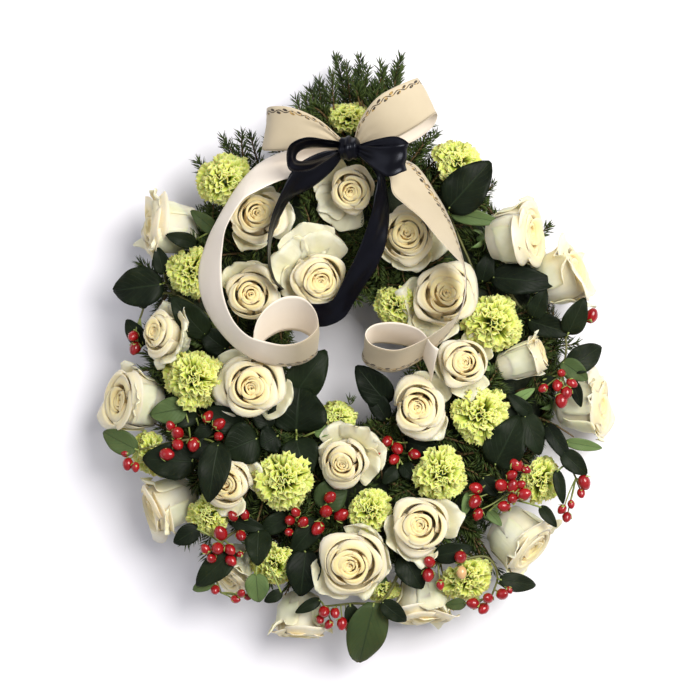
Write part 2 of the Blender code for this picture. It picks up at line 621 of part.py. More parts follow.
def spray(root, tip, trees):
    """A three-sided twig with a needle raised from each side of every short stretch.

    A needle that would touch a flower, leaf or ribbon is left out. Gives the shell and their number.
    """
    root, tip = np.asarray(root, float), np.asarray(tip, float)
    way, length = unit(tip - root), np.linalg.norm(tip - root)
    side = unit(np.cross(UP, way))
    nodes = int(0.75 * length / NEEDLE_PITCH)
    shell = Shell()
    shell.ring(polygon(root - 6 * way, way, side, 1.8, 3, -90))
    grown = 0
    for k in reversed(range(nodes)):
        middle = tip - way * (NEEDLE_PITCH * k + 4)
        turn = -90 - 60 * (nodes - k)
        for along in (-1.1, 1.1):
            shell.ring(polygon(middle + way * along, way, side, 1.2, 3, turn))
        low, high = shell.last[0] - 3, shell.last[0]
        del shell.faces[-6:]
        for i in range(3):
            quad = [low + i, low + (i + 1) % 3, high + (i + 1) % 3, high + i]
            centre = np.mean([shell.points[q] for q in quad], axis=0)
            end = centre + NEEDLE_LENGTH * unit(0.9 * way + unit(centre - middle))
            if is_clear(centre, end, trees, CLEARANCE):
                shell.points.append(tuple(end))
                peak = len(shell.points) - 1
                shell.faces += [(quad[j], quad[(j + 1) % 4], peak) for j in range(4)]
                grown += 1
            else:
                shell.faces += [(quad[0], quad[1], quad[2]), (quad[0], quad[2], quad[3])]
        shell.last = [high, high + 1, high + 2]
    return shell.tip(tip + 12 * way if is_clear(tip, tip + 12 * way, trees, CLEARANCE) else tip), grown


def drawn_root(draw):
    """A place on the coat and a twig's way out of it: inner rim, top or outer flank."""
    angle = draw.uniform(0, 2 * math.pi)
    radius, z, lean, rise = ((78, 50, -0.5, 0.8), (draw.uniform(100, 172), None, 0.3, 0.6),
                             (196, 30, 1.0, 0.35))[int(draw.integers(3))]
    z = coat_top(radius) - 4 if z is None else z
    out = np.array([math.cos(angle), math.sin(angle), 0.0])
    around = np.array([-out[1], out[0], 0.0]) * draw.uniform(-0.8, 0.8)
    return radius * out + z * UP, unit(lean * out + around + rise * UP)


def sector_of(point):
    angle = math.degrees(math.atan2(point[1], point[0])) % 360
    return max((i for i, edge in enumerate(SECTOR_EDGES) if angle >= edge), default=5)


# Build.

straw_angles = [a for i in range(len(SECTOR_EDGES)) for a in sector_angles(i)[:-1]]
make_object("straw_ring", turned(STRAW, straw_angles, True),
            plain_material("straw", (0.55, 0.42, 0.20), 0.9))

standing = []
for i, placing in enumerate(ROSES):
    material = plain_material(f"rose_petals_{i + 1:02d}", (0.86, 0.83, 0.62), 0.6)
    standing.append(rose(f"rose_{i + 1:02d}", placing, material))
for i, placing in enumerate(CARNATIONS):
    material = plain_material(f"carnation_petals_{i + 1:02d}", (0.62, 0.74, 0.36), 0.7)
    standing.append(carnation(f"carnation_{i + 1:02d}", placing, material))
for name, parts in BRANCHES.items():
    material = plain_material(name + "_leaves", (0.10, 0.17, 0.10), 0.6)
    standing.append(branch(name, parts, material))
ribbon("cream_ribbon", CREAM_STRIPS, 1.0, CREAM_KNOT, 8.6, [tube(CREAM_PICK, [1.5, 1.5])],
       plain_material("cream_cloth", (0.85, 0.76, 0.62), 0.8))
pick = np.array(CREAM_PICK, float)
standing.append((None, pick[0], pick[0] + 0.4 * (pick[1] - pick[0]), pick[1] - pick[0], 1.5))
ribbon("black_ribbon", BLACK_STRIPS, 0.8, BLACK_KNOT, 11.2, [],
       plain_material("black_satin", (0.02, 0.02, 0.05), 0.35))

coats = [make_object(f"fir_{i + 1}", turned(COAT, sector_angles(i, 0.12), False),
                     plain_material(f"fir_needles_{i + 1}", (0.10, 0.22, 0.05), 0.7))
         for i in range(len(SECTOR_EDGES))]
flower_trees = [tree_of(obj) for obj in bpy.context.scene.objects if not obj.name.startswith("fir_")]
coat_trees = [tree_of(coat) for coat in coats]
draw = np.random.default_rng(7)
drawn = []
for attempt in range(4000):
    if len(drawn) == DRAWN_SPRAYS:
        break
    root, way = drawn_root(draw)
    tip = root + way * draw.uniform(34, 46)
    near = any(np.linalg.norm(tip - other[1]) < 26 for other in drawn)
    if not near and tip[2] > 30 and is_clear(root + 8 * way, tip, flower_trees, 2.4):
        if spray(root, tip, flower_trees)[1] >= 4:
            drawn.append((root, tip))
spray_trees = []
for i, coat in enumerate(coats):
    others = flower_trees + [tree for k, tree in enumerate(coat_trees) if k != i]
    pieces = []
    for root, tip in [(np.array(s[:3], float), np.array(s[3:], float)) for s in FAN] + drawn:
        trees = others + spray_trees
        if sector_of(root) == i and is_clear(root - 6 * unit(tip - root), tip, trees, 1.6):
            pieces.append(spray(root, tip, trees)[0])
            spray_trees.append(tree_of_shell(pieces[-1]))
    boolean(coat, pieces, "UNION")
    holes = [hole_for(*stem) for _, *stem in standing if sector_of(stem[0]) == i]
    boolean(coat, holes, "DIFFERENCE")
    coat_trees[i] = tree_of(coat)

# The middle of the part's bounding box becomes the origin, on the table.
corners = np.array([v.co for obj in bpy.context.scene.objects for v in obj.data.vertices])
middle = (corners.min(axis=0) + corners.max(axis=0)) / 2
for obj in bpy.context.scene.objects:
    for vert in obj.data.vertices:
        vert.co.x -= middle[0]
        vert.co.y -= middle[1]
    obj.data.update()
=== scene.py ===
"""A round funeral wreath of fir, roses, carnations and berried leaves with a cream and black bow."""

import math

import bpy
import numpy as np
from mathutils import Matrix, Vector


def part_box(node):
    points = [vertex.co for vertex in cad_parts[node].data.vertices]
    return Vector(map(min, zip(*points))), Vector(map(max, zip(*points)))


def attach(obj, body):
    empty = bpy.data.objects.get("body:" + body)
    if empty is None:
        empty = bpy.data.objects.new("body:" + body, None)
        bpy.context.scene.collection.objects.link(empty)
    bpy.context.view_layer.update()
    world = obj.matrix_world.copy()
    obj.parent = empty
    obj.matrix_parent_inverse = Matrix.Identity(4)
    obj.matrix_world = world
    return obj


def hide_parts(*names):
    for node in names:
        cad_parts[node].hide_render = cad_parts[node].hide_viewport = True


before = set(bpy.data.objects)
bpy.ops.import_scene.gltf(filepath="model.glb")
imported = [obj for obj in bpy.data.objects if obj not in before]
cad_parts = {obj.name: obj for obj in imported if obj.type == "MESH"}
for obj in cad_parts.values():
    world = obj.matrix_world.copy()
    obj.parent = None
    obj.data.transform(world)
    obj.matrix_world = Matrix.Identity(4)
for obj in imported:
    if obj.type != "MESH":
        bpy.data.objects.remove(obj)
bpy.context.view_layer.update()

# Studio. The wreath lies flat on a white table. The camera hangs straight above it, and a
# large soft lamp stands to the upper right, so that the shadows fall to the lower left.

# Lengths are millimetres from the middle of the straw ring, which lies this far right of and
# above the low corner of the ring's box.
RING_REACH = (179.49, 178.47)
ring_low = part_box("straw_ring")[0]
RING = np.array([ring_low.x * 1000 + RING_REACH[0], ring_low.y * 1000 + RING_REACH[1], 0.0])


def metres(points):
    """Millimetres from the ring's middle, turned into metres in the model's own frame."""
    return (np.asarray(points, float) + RING) / 1000


def link(name, data):
    obj = bpy.data.objects.new(name, data)
    bpy.context.scene.collection.objects.link(obj)
    return obj


def lamp(name, place, target, size, power, colour):
    data = bpy.data.lights.new(name, "AREA")
    data.shape, data.size, data.energy, data.color = "DISK", size, power, colour
    obj = link(name, data)
    obj.location = place
    way = Vector(target) - Vector(place)
    obj.rotation_euler = way.to_track_quat("-Z", "Y").to_euler()


# The camera stands 3.2 m above the flowers' tops and sees a square 0.7 m wide there.
SENSOR_MM, CAMERA_RISE, VIEW_WIDTH = 36.0, 3.2, 0.7
FLOWER_TOPS_MM = 90
lens_data = bpy.data.cameras.new("studio_camera")
lens_data.sensor_width = SENSOR_MM
lens_data.lens = SENSOR_MM * CAMERA_RISE / VIEW_WIDTH
lens_data.clip_end = 60.0
camera = link("studio_camera", lens_data)
camera.location = metres((-4, 8, FLOWER_TOPS_MM + CAMERA_RISE * 1000))
bpy.context.scene.camera = camera

lamp("key_lamp", (1.22, 0.78, 2.5), (0, 0, 0.05), 1.9, 114, (1.0, 0.97, 0.925))
lamp("fill_lamp", (-2.2, 0.4, 2.2), (0, 0, 0.05), 2.4, 15, (0.93, 0.93, 1.0))
world = bpy.data.worlds.new("studio")
world.use_nodes = True
sky = world.node_tree.nodes["Background"]
sky.inputs["Color"].default_value = (0.98, 0.97, 1.0, 1)
sky.inputs["Strength"].default_value = 0.39
bpy.context.scene.world = world
bpy.context.scene.view_settings.view_transform = "Standard"


def material(name, colour, roughness, **sockets):
    """A Principled finish. Returns the material, its node tree and the shader."""
    made = bpy.data.materials.new(name)
    made.use_nodes = True
    shader = made.node_tree.nodes["Principled BSDF"]
    shader.inputs["Base Color"].default_value = (*colour, 1)
    shader.inputs["Roughness"].default_value = roughness
    for key, value in sockets.items():
        shader.inputs[key.replace("_", " ")].default_value = value
    return made, made.node_tree, shader


# The table reaches 6 m from the middle on each side.
floor_mesh = bpy.data.meshes.new("table")
floor_mesh.from_pydata([(-6, -6, 0), (6, -6, 0), (6, 6, 0), (-6, 6, 0)], [], [(0, 1, 2, 3)])
floor_mesh.materials.append(material("white_table", (0.90, 0.90, 0.96), 0.7)[0])
link("table", floor_mesh)


# Straw ring. The base is a ring of straw bound with thin string, which hides under the
# greenery. It keeps its solid and gets a straw finish.


def node(tree, kind, links=(), **values):
    """A shader node with its settings, its socket values by name or number, and its links."""
    made = tree.nodes.new(kind)
    for key, value in values.items():
        setattr(made, key, value)
    for socket, source in links:
        if hasattr(source, "is_output"):
            tree.links.new(source, made.inputs[socket])
        else:
            made.inputs[socket].default_value = source
    return made


def mixed(tree, share, a, b):
    """Colour a turning to colour b as the share goes from 0 to 1."""
    a, b = ((*x, 1) if isinstance(x, tuple) else x for x in (a, b))
    return node(tree, "ShaderNodeMix", [(0, share), (6, a), (7, b)], data_type="RGBA").outputs[2]


def speckle(tree, scale, detail=3.0, rough=0.5, vector=None):
    """Noise on the object's own coordinates, or on another vector."""
    if vector is None:
        vector = node(tree, "ShaderNodeTexCoord").outputs["Object"]
    return node(tree, "ShaderNodeTexNoise",
                [("Vector", vector), ("Scale", scale), ("Detail", detail), ("Roughness", rough)]).outputs[0]


def ramp(tree, value, low, high):
    """0 below low, 1 above high and a straight rise between."""
    links = [("Value", value), ("From Min", low), ("From Max", high)]
    return node(tree, "ShaderNodeMapRange", links).outputs[0]


def dappled(tree, noise, low, high, a, b):
    """Colour a where the noise is below low, colour b where it is above high."""
    return mixed(tree, ramp(tree, noise, low, high), a, b)


def paint(tree, shader, colour):
    tree.links.new(colour, shader.inputs["Base Color"])


def bump(tree, shader, height, distance, strength=0.6):
    made = node(tree, "ShaderNodeBump", [("Height", height), ("Distance", distance), ("Strength", strength)])
    tree.links.new(made.outputs[0], shader.inputs["Normal"])


straw, tree, shader = material("bound_straw", (0.55, 0.42, 0.20), 0.8)
stalks = speckle(tree, 140, 5, 0.7)
paint(tree, shader, dappled(tree, stalks, 0.35, 0.7, (0.30, 0.21, 0.09), (0.66, 0.52, 0.27)))
bump(tree, shader, stalks, 0.002)
ring_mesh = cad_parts["straw_ring"].data
ring_mesh.materials.clear()
ring_mesh.materials.append(straw)


# Fir. Cut sprigs are bound round the straw ring in six bundles, with loose tips between
# the flowers and a fan behind the bow. A sprig is a brown twig with flat green needles.


def piece(name, points, faces, finish, nodes, **layers):
    """A smooth mesh from points in millimetres and lists of faces of three or four corners.

    Each layer is a number per point, except uv, which is a pair per point."""
    points = metres(np.asarray(points).reshape(-1, 3))
    faces = [np.asarray(f).reshape(-1, np.asarray(f).shape[-1]) for f in faces]
    mesh = bpy.data.meshes.new(name)
    mesh.vertices.add(len(points))
    mesh.vertices.foreach_set("co", points.astype(np.float32).ravel())
    corners = np.concatenate([f.ravel() for f in faces]).astype(np.int32)
    sizes = np.concatenate([np.full(len(f), f.shape[1]) for f in faces])
    mesh.loops.add(len(corners))
    mesh.loops.foreach_set("vertex_index", corners)
    mesh.polygons.add(len(sizes))
    mesh.polygons.foreach_set("loop_start", (np.cumsum(sizes) - sizes).astype(np.int32))
    mesh.polygons.foreach_set("use_smooth", np.ones(len(sizes), bool))
    for key, values in layers.items():
        if key == "uv":
            pairs = np.asarray(values, np.float32).reshape(-1, 2)[corners]
            mesh.uv_layers.new(name="UVMap").data.foreach_set("uv", pairs.ravel())
        else:
            layer = mesh.attributes.new(key, "FLOAT", "POINT")
            layer.data.foreach_set("value", np.asarray(values, np.float32).ravel())
    mesh.update(calc_edges=True)
    mesh.materials.append(finish)
    obj = link(name, mesh)
    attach(obj, "root")
    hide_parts(*nodes)
    return obj


def joined(parts):
    """Several (points, faces, layers) made one, with the faces renumbered."""
    start, points, faces, layers = 0, [], [], {}
    for p, f, extra in parts:
        p = np.asarray(p).reshape(-1, 3)
        points.append(p)
        faces += [np.asarray(x) + start for x in f]
        for key, value in extra.items():
            value = np.full(len(p), value) if np.ndim(value) == 0 else np.asarray(value)
            layers.setdefault(key, []).append(value.reshape(len(p), -1).squeeze())
        start += len(p)
    return np.concatenate(points), faces, {k: np.concatenate(v) for k, v in layers.items()}


def numbered(*shape):
    """The numbers of a grid's points, laid out as the grid is."""
    return np.arange(math.prod(shape)).reshape(shape)


def unit(v):
    return v / np.maximum(np.linalg.norm(v, axis=-1, keepdims=True), 1e-9)


def across(way, hint=(0, 0, 1)):
    """Two directions square to each way: one level with the hint and one nearest to it."""
    way = unit(np.asarray(way, float))
    side = unit(np.cross(way, np.broadcast_to(hint, way.shape)) + 1e-6)
    return side, unit(np.cross(side, way))


def tubes(paths, radii, sides=6):
    """Round rods along paths (k, n, 3): at each station a circle square to the path, and a cap
    at each end."""
    paths = np.asarray(paths, float)
    k, n = paths.shape[:2]
    way = np.gradient(paths, axis=1)
    mean = unit(paths[:, -1] - paths[:, 0])
    hint = np.where(np.abs(mean[:, 2:3]) > 0.8, (1.0, 0.3, 0.0), (0.0, 0.2, 1.0))[:, None, :]
    side, up = across(way, hint)
    a = np.linspace(0, 2 * np.pi, sides, endpoint=False)
    ring = up[:, :, None] * np.cos(a)[:, None] + side[:, :, None] * np.sin(a)[:, None]
    points = paths[:, :, None] + ring * np.broadcast_to(radii, (k, n))[:, :, None, None]
    at = numbered(k, n, sides)
    nxt = np.roll(at, -1, axis=2)
    walls = np.stack([at[:, :-1], nxt[:, :-1], nxt[:, 1:], at[:, 1:]], -1)
    caps = [at[:, 0, ::-1], at[:, -1]]
    return points.reshape(-1, 3), [walls.reshape(-1, 4)] + [c.reshape(-1, sides) for c in caps]


NEEDLE_WIDTH = 1.35


def needles(base, way, flat, length):
    """Flat needles: a point, a three-cornered ring at 45% of the length, and a point."""
    side = unit(np.cross(way, flat))
    flat = unit(np.cross(side, way))
    corner = np.stack([side * 0.5, -side * 0.5, flat * 0.36], 1) * NEEDLE_WIDTH
    ring = (base + way * (0.45 * length)[:, None])[:, None] + corner
    points = np.concatenate([base[:, None], ring, (base + way * length[:, None])[:, None]], 1)
    tris = np.array([(0, 2, 1), (0, 3, 2), (0, 1, 3), (1, 2, 4), (2, 3, 4), (3, 1, 4)])
    return points.reshape(-1, 3), [(tris + 5 * np.arange(len(base))[:, None, None]).reshape(-1, 3)]


def stood(points, base, axis):
    """Points of a bloom's own frame, its axis laid along the way that the bloom faces. Its
    first direction points right in a bloom that faces up, and upward in one at the side."""
    first = np.array((1.0, 0, 0) if abs(axis[2]) > 0.9 else (0, 0, 1.0))
    first = unit(first - axis * (first @ axis))
    return base + points @ np.stack([first, np.cross(axis, first), axis])


def facing(azimuth, elevation):
    a, e = np.radians(azimuth), np.radians(elevation)
    return np.stack([np.cos(a) * np.cos(e), np.sin(a) * np.cos(e), np.sin(e)], -1)


# Mouth of each rose, azimuth and elevation of the way it faces, radius, length, and bud or not.
ROSES = np.array((
    (-190, 132, 66, 176, 15, 29, 60, 0), (-97, 141, 110, 90, 80, 28, 50, 0),
    (-3, 168, 108, 250, 80, 25, 50, 0), (-35, 80, 108, -40, 72, 29, 50, 0),
    (-103, 63, 110, 80, 85, 27, 50, 0), (53, 122, 108, 160, 85, 29, 50, 0),
    (89, 62, 108, 60, 84, 34, 52, 0), (164, 123, 98, 5, 25, 31, 58, 0),
    (210, 83, 74, 22, 18, 30, 58, 0), (110, -5, 110, 0, 86, 26, 50, 0),
    (187, 4, 96, 19, 14, 19, 60, 1), (236, -48, 56, 0, 16, 30, 58, 0),
    (64, -49, 108, 120, 82, 30, 50, 0), (-10, -103, 108, 235, 72, 24.5, 50, 0),
    (-101, -28, 110, 180, 84, 32, 52, 0), (-190, 24, 93, 165, 45, 23, 52, 0),
    (-224, -44, 66, 172, 32, 32, 56, 0), (-190, -148, 56, 202, 15, 27, 58, 0),
    (-124, -125, 106, 200, 80, 26, 48, 0), (-2, -203, 106, 270, 78, 35, 54, 0),
    (67, -167, 108, 100, 84, 30, 50, 0), (168, -184, 66, -42, 22, 32, 58, 0),
    (71, -248, 52, -90, 15, 30, 58, 0), (-55, -266, 46, -92, 12, 26, 54, 0),
    (-121, -213, 62, 240, 25, 20, 48, 0)), float)
rose_axis = facing(ROSES[:, 3], ROSES[:, 4])
# The base lies this share of the length behind the mouth, more in a bud.
mouth_share = np.where(ROSES[:, 7] > 0, 0.86, 0.62)
rose_base = ROSES[:, :3] - rose_axis * (ROSES[:, 6] * mouth_share)[:, None]

# Mouth of each carnation, azimuth and elevation of the way it faces, and radius.
CARNATIONS = np.array((
    (-129, 177, 84, 125, 62, 26), (-4, 240, 66, 90, 25, 22), (103, 195, 82, 60, 60, 23),
    (-162, 86, 92, 150, 72, 24), (-159, -21, 92, 190, 72, 28), (43, 52, 84, 230, 60, 21.5),
    (139, 35, 92, 20, 80, 27), (126, -57, 92, 320, 80, 27), (87, -116, 92, 300, 84, 25),
    (-70, -122, 92, 240, 84, 28), (16, -153, 88, 270, 84, 21), (-203, -97, 62, 205, 35, 22),
    (-146, -158, 80, 225, 60, 20), (-79, -207, 72, 250, 50, 22), (187, -123, 74, -30, 45, 23),
    (113, -221, 72, -65, 40, 25), (-16, -59, 76, 90, 45, 17), (31, -234, 62, -80, 20, 16)), float)
carnation_axis = facing(CARNATIONS[:, 3], CARNATIONS[:, 4])
carnation_base = CARNATIONS[:, :3] - carnation_axis * (8 + 0.35 * CARNATIONS[:, 5])[:, None]

# The guard petals: degrees round the axis, and how far each reaches in radii. The roses that
# aren't listed have three, turned by the rose's number.
GUARDS = {
    2: ((0, 1.25), (60, 1.05), (250, 1.05)), 3: ((250, 1.55), (212, 1.4), (150, 1.4)),
    4: ((105, 1.75), (150, 1.5), (75, 1.35), (200, 1.2)), 5: ((60, 1.25), (120, 1.2), (330, 1.1)),
    6: ((350, 1.2), (280, 1.15), (200, 1.1)), 7: ((185, 1.06), (222, 1.1), (256, 1.15)),
    13: ((60, 1.15), (300, 1.1)), 14: ((105, 1.35), (62, 1.5), (22, 1.5), (345, 1.3), (170, 1.1)),
    15: ((150, 1.2), (200, 1.15), (330, 1.15)),
    16: ((20, 1.6), (70, 1.5), (120, 1.4), (320, 1.5), (270, 1.4)),
    20: ((225, 1.2), (285, 1.04), (345, 1.06), (60, 1.02)), 21: ((200, 1.2), (260, 1.15), (20, 1.2)),
    25: ((10, 1.9), (60, 1.6), (320, 1.7)),
}
GUARDS = [GUARDS.get(i, ((i * 77, 1.15), (i * 77 + 130, 1.1), (i * 77 + 235, 1.2))) for i in range(1, 26)]

# Stems as paths, leaves as base, tip and width, and berries as middle and radius.
BRANCHES = {
    "hypericum_left": {
        "stems": [[(-141, 40, 60), (-149, 44, 80), (-180, 64, 78), (-206, 60, 72), (-216, 40, 66)],
                  [(-178, 63, 78), (-190, 84, 80), (-166, 116, 80)]],
        "leaves": [(-192, 74, 86, -238, 68, 76, 30), (-212, 12, 64, -228, 36, 60, 14),
                   (-214, 50, 72, -208, 64, 80, 8), (-148, 22, 90, -178, 56, 98, 22),
                   (-128, 8, 82, -150, 26, 88, 20), (-140, 128, 84, -160, 145, 92, 12),
                   (-158, 114, 88, -184, 122, 98, 12), (-190, 84, 88, -196, 108, 90, 13)],
        "berries": [(-222, 22, 72, 5), (-220, 10, 70, 5.5)],
    },
    "hypericum_lower_left": {
        "stems": [[(-148, -78, 56), (-152, -80, 82), (-180, -84, 88), (-216, -92, 86)]],
        "leaves": [(-168, -50, 90, -200, -56, 92, 20), (-156, -60, 84, -190, -62, 86, 13),
                   (-159, -104, 92, -206, -101, 92, 28), (-142, -66, 86, -158, -80, 88, 12),
                   (-142, -88, 86, -168, -94, 90, 16), (-134, -84, 119, -143, -136, 125, 24),
                   (-218, -92, 84, -249, -76, 76, 18)],
        "berries": [(-183, -68, 96, 4.5), (-176, -75, 98, 6), (-176, -86, 98, 5.5), (-160, -86, 98, 6),
                    (-187, -96, 98, 6), (-146, -59, 95, 5), (-135, -66, 99, 5.5), (-135, -78, 99, 4.5),
                    (-229, -96, 82, 3.5), (-227, -106, 80, 5), (-219, -109, 84, 4)],
    },
    "hypericum_bottom_left": {
        "stems": [[(-100, -155, 48), (-105, -165, 82), (-130, -182, 88), (-142, -206, 88), (-134, -236, 78)],
                  [(-106, -166, 83), (-96, -186, 90)]],
        "leaves": [(-124, -162, 86, -93, -170, 88, 12), (-95, -172, 90, -96, -203, 98, 20),
                   (-120, -192, 92, -154, -224, 86, 20), (-156, -170, 88, -178, -184, 86, 15),
                   (-140, -222, 86, -160, -232, 80, 10), (-98, -216, 92, -96, -242, 86, 18),
                   (-72, -234, 88, -88, -243, 86, 9)],
        "berries": [(-133, -175, 98, 6.5), (-113, -177, 98, 5), (-148, -191, 98, 4.5), (-136, -190, 99, 6),
                    (-124, -191, 98, 5), (-114, -196, 94, 3), (-142, -200, 98, 4.5), (-123, -202, 96, 5),
                    (-121, -158, 94, 4.5), (-109, -157, 92, 4.5), (-139, -232, 86, 4.5),
                    (-119, -242, 80, 4), (-113, -236, 84, 4), (-107, -240, 80, 3)],
    },
    "hypericum_inner_left": {
        "stems": [[(-42, -148, 57), (-44, -150, 81), (-46, -112, 82), (-57, -77, 86), (-97, -80, 82)],
                  [(-44, -151, 81), (-30, -158, 86)], [(-45, -152, 82), (-58, -172, 86), (-56, -190, 86)]],
        "leaves": [(-34, -150, 92, -12, -124, 88, 24), (-36, -162, 88, -60, -192, 88, 18),
                   (-48, -192, 88, -53, -234, 86, 26), (-66, -158, 86, -92, -174, 84, 15),
                   (-62, -40, 86, -32, 2, 92, 28), (-58, -74, 90, -54, -32, 94, 44),
                   (-58, -80, 92, -48, -114, 100, 28), (-96, -80, 96, -126, -92, 100, 32),
                   (-76, -78, 90, -92, -86, 94, 22), (-40, -74, 92, -22, -72, 100, 9),
                   (-112, -72, 92, -142, -52, 96, 20), (-84, -70, 90, -98, -48, 88, 16)],
        "berries": [(-24, -139, 98, 5.5), (-28, -153, 98, 6), (-13, -157, 90, 6), (-36, -170, 92, 6),
                    (-51, -164, 96, 5), (-58, -154, 98, 4.5), (-64, -162, 94, 5), (-65, -174, 92, 4)],
    },
    "hypericum_inner_right": {
        "stems": [[(44, -98, 54), (43, -97, 80), (37, -80, 86), (36, -50, 88)]],
        "leaves": [(52, -84, 84, 82, -92, 86, 18), (30, -106, 84, 18, -80, 84, 12),
                   (18, -82, 84, 10, -72, 88, 7), (44, -110, 86, 30, -124, 88, 11),
                   (48, -106, 86, 60, -120, 90, 12), (34, -46, 88, 6, -12, 94, 24),
                   (33, -62, 88, 16, -32, 86, 15)],
        "berries": [(33, -83, 98, 5), (27, -93, 96, 5.5), (43, -90, 97, 5.5), (40, -101, 97, 5),
                    (60, -96, 94, 5)],
    },
    "hypericum_upper_right": {
        "stems": [[(150, 74, 53), (151, 74, 81), (126, 80, 85), (112, 106, 86), (96, 142, 96)],
                  [(151, 74, 80), (168, 50, 83), (188, 42, 84), (212, 20, 86), (209, -16, 90)]],
        "leaves": [(208, -4, 92, 231, -20, 90, 15), (188, -22, 84, 206, -26, 86, 9),
                   (218, -22, 92, 226, -46, 92, 9), (214, -10, 92, 245, 10, 84, 20),
                   (174, 38, 86, 212, 26, 88, 18), (214, 24, 90, 228, 56, 100, 18),
                   (128, 76, 88, 135, 102, 92, 15), (137, 81, 92, 194, 75, 98, 22),
                   (178, 40, 90, 190, 66, 98, 14), (93, 148, 104, 131, 190, 110, 32),
                   (97, 144, 102, 140, 136, 106, 12)],
        "berries": [(207, -15, 98, 4), (217, -25, 98, 4.5), (203, -27, 98, 5), (189, -30, 96, 4),
                    (212, -34, 98, 5.5), (207, -42, 98, 6), (238, 42, 84, 6)],
    },
    "hypericum_right": {
        "stems": [[(140, -108, 50), (141, -109, 80), (150, -128, 88), (160, -142, 92)],
                  [(141, -108, 81), (164, -86, 86), (190, -80, 88), (208, -92, 94), (222, -120, 94)]],
        "leaves": [(140, -108, 94, 162, -64, 102, 30), (128, -120, 86, 142, -136, 86, 12),
                   (134, -153, 86, 146, -166, 90, 8), (160, -66, 88, 152, -42, 86, 10),
                   (178, -58, 90, 156, -38, 94, 11), (170, -56, 92, 184, -92, 96, 20),
                   (192, -66, 92, 213, -100, 98, 13), (158, -44, 90, 178, -32, 94, 8),
                   (212, -84, 86, 246, -90, 78, 9), (208, -94, 98, 230, -114, 96, 15),
                   (202, -112, 98, 208, -142, 98, 9), (186, -148, 98, 200, -166, 102, 9),
                   (116, -134, 86, 110, -156, 88, 8)],
        "berries": [(162, -106, 100, 6), (171, -111, 101, 4), (157, -117, 100, 5), (147, -127, 100, 6),
                    (158, -128, 100, 5.5), (166, -126, 101, 4), (169, -136, 100, 6), (158, -140, 100, 5),
                    (150, -148, 98, 5.5), (122, -130, 94, 5.5), (121, -143, 94, 6), (124, -156, 92, 5),
                    (230, -124, 92, 6), (227, -135, 90, 4), (217, -146, 92, 3.5), (208, -151, 92, 4),
                    (213, -159, 88, 4.5)],
    },
    "hypericum_bottom": {
        "stems": [[(44, -170, 51), (45, -173, 82), (52, -202, 88), (80, -205, 94), (102, -203, 97),
                   (132, -199, 92), (144, -218, 86), (138, -240, 82)],
                  [(51, -200, 87), (30, -242, 86), (-4, -247, 78), (-30, -250, 76)]],
        "leaves": [(48, -196, 92, 66, -227, 92, 22), (80, -198, 98, 114, -190, 98, 15),
                   (146, -222, 84, 180, -228, 74, 14), (112, -246, 80, 94, -248, 76, 9),
                   (-34, -242, 82, -56, -254, 82, 9), (-4, -248, 78, 2, -277, 66, 12),
                   (20, -246, 84, 6, -303, 58, 30), (28, -244, 90, 50, -262, 86, 14)],
        "berries": [(75, -203, 104, 5.5), (74, -216, 100, 5.5), (106, -198, 106, 6), (86, -226, 96, 4),
                    (107, -213, 104, 5), (120, -246, 84, 5.5), (134, -240, 92, 5), (130, -251, 84, 5),
                    (148, -236, 92, 5.5), (155, -232, 90, 3), (-30, -254, 86, 5.5), (-34, -262, 82, 4),
                    (-19, -255, 86, 4.5), (-25, -267, 80, 4), (-12, -266, 82, 5), (-6, -271, 78, 3)],
    },
}

# Balls that the needles keep clear of: one in each head, and one round each guard petal's outer
# half.
heads = np.concatenate([rose_base + rose_axis * ROSES[:, 6:7] * 0.55,
                        carnation_base + carnation_axis * (6 + 0.45 * CARNATIONS[:, 5:6])])
head_radii = np.concatenate([ROSES[:, 5] * 1.04, CARNATIONS[:, 5] * 0.96])
for base, axis, guards, radius, length in zip(rose_base, rose_axis, GUARDS, ROSES[:, 5], ROSES[:, 6]):
    for turn, spread in guards:
        reach, a = radius * spread * 0.75, math.radians(turn)
        spot = np.array((reach * math.cos(a), reach * math.sin(a), 0.44 * length))
        heads = np.concatenate([heads, stood(spot, base, axis)[None]])
        head_radii = np.append(head_radii, radius * spread * 0.46)

# Where each of the six bundles starts, in degrees round the ring.
SECTORS = np.array([5.0, 56.5, 121.0, 180.6, 244.8, 302.0])
UP = np.array([0, 0, 1.0])
draw = np.random.default_rng(7)


def level(angles):
    """Level directions at these angles round the ring."""
    return np.stack([np.cos(angles), np.sin(angles), 0 * angles], -1)


def over_section(values):
    """A value per sprig, read by straight lines between five places over the coat's section."""
    return np.interp(place, [0, 0.18, 0.5, 0.8, 1], values)


# Sprigs over the coat: each starts at an angle round the ring and a place on the coat's
# rounded section, and leans outward with a turn to one side.
count = 410
angle = draw.uniform(0, 2 * np.pi, count)
place = np.where(draw.uniform(0, 1, count) < 0.7, draw.uniform(0.12, 0.85, count), draw.uniform(0, 1, count))
radius = over_section([76, 84, 132, 184, 197])
height = over_section([38, 60, 70, 57, 26]) + draw.uniform(-2, 12, count)
lean = np.radians(over_section([60, 30, 14, 10, 5]) + draw.uniform(-6, 16, count))
twist = np.radians(draw.uniform(-180, 180, count) * over_section([0.5, 0.9, 1.0, 0.7, 0.4]))
out = level(angle)
round_way = np.stack([-np.sin(angle), np.cos(angle), 0 * angle], -1)
flat_way = out * np.cos(twist)[:, None] + round_way * np.sin(twist)[:, None]
ways = flat_way * np.cos(lean)[:, None] + UP * np.sin(lean)[:, None] * 0.62
roots = out * radius[:, None] + UP * height[:, None]
tips = roots + unit(ways) * draw.uniform(34, 52, count)[:, None]
# No tip reaches into the hole or far past the outer flank.
reach = np.linalg.norm(tips[:, :2], axis=1)
tips[:, :2] *= np.clip(reach, 58, 214)[:, None] / reach[:, None]

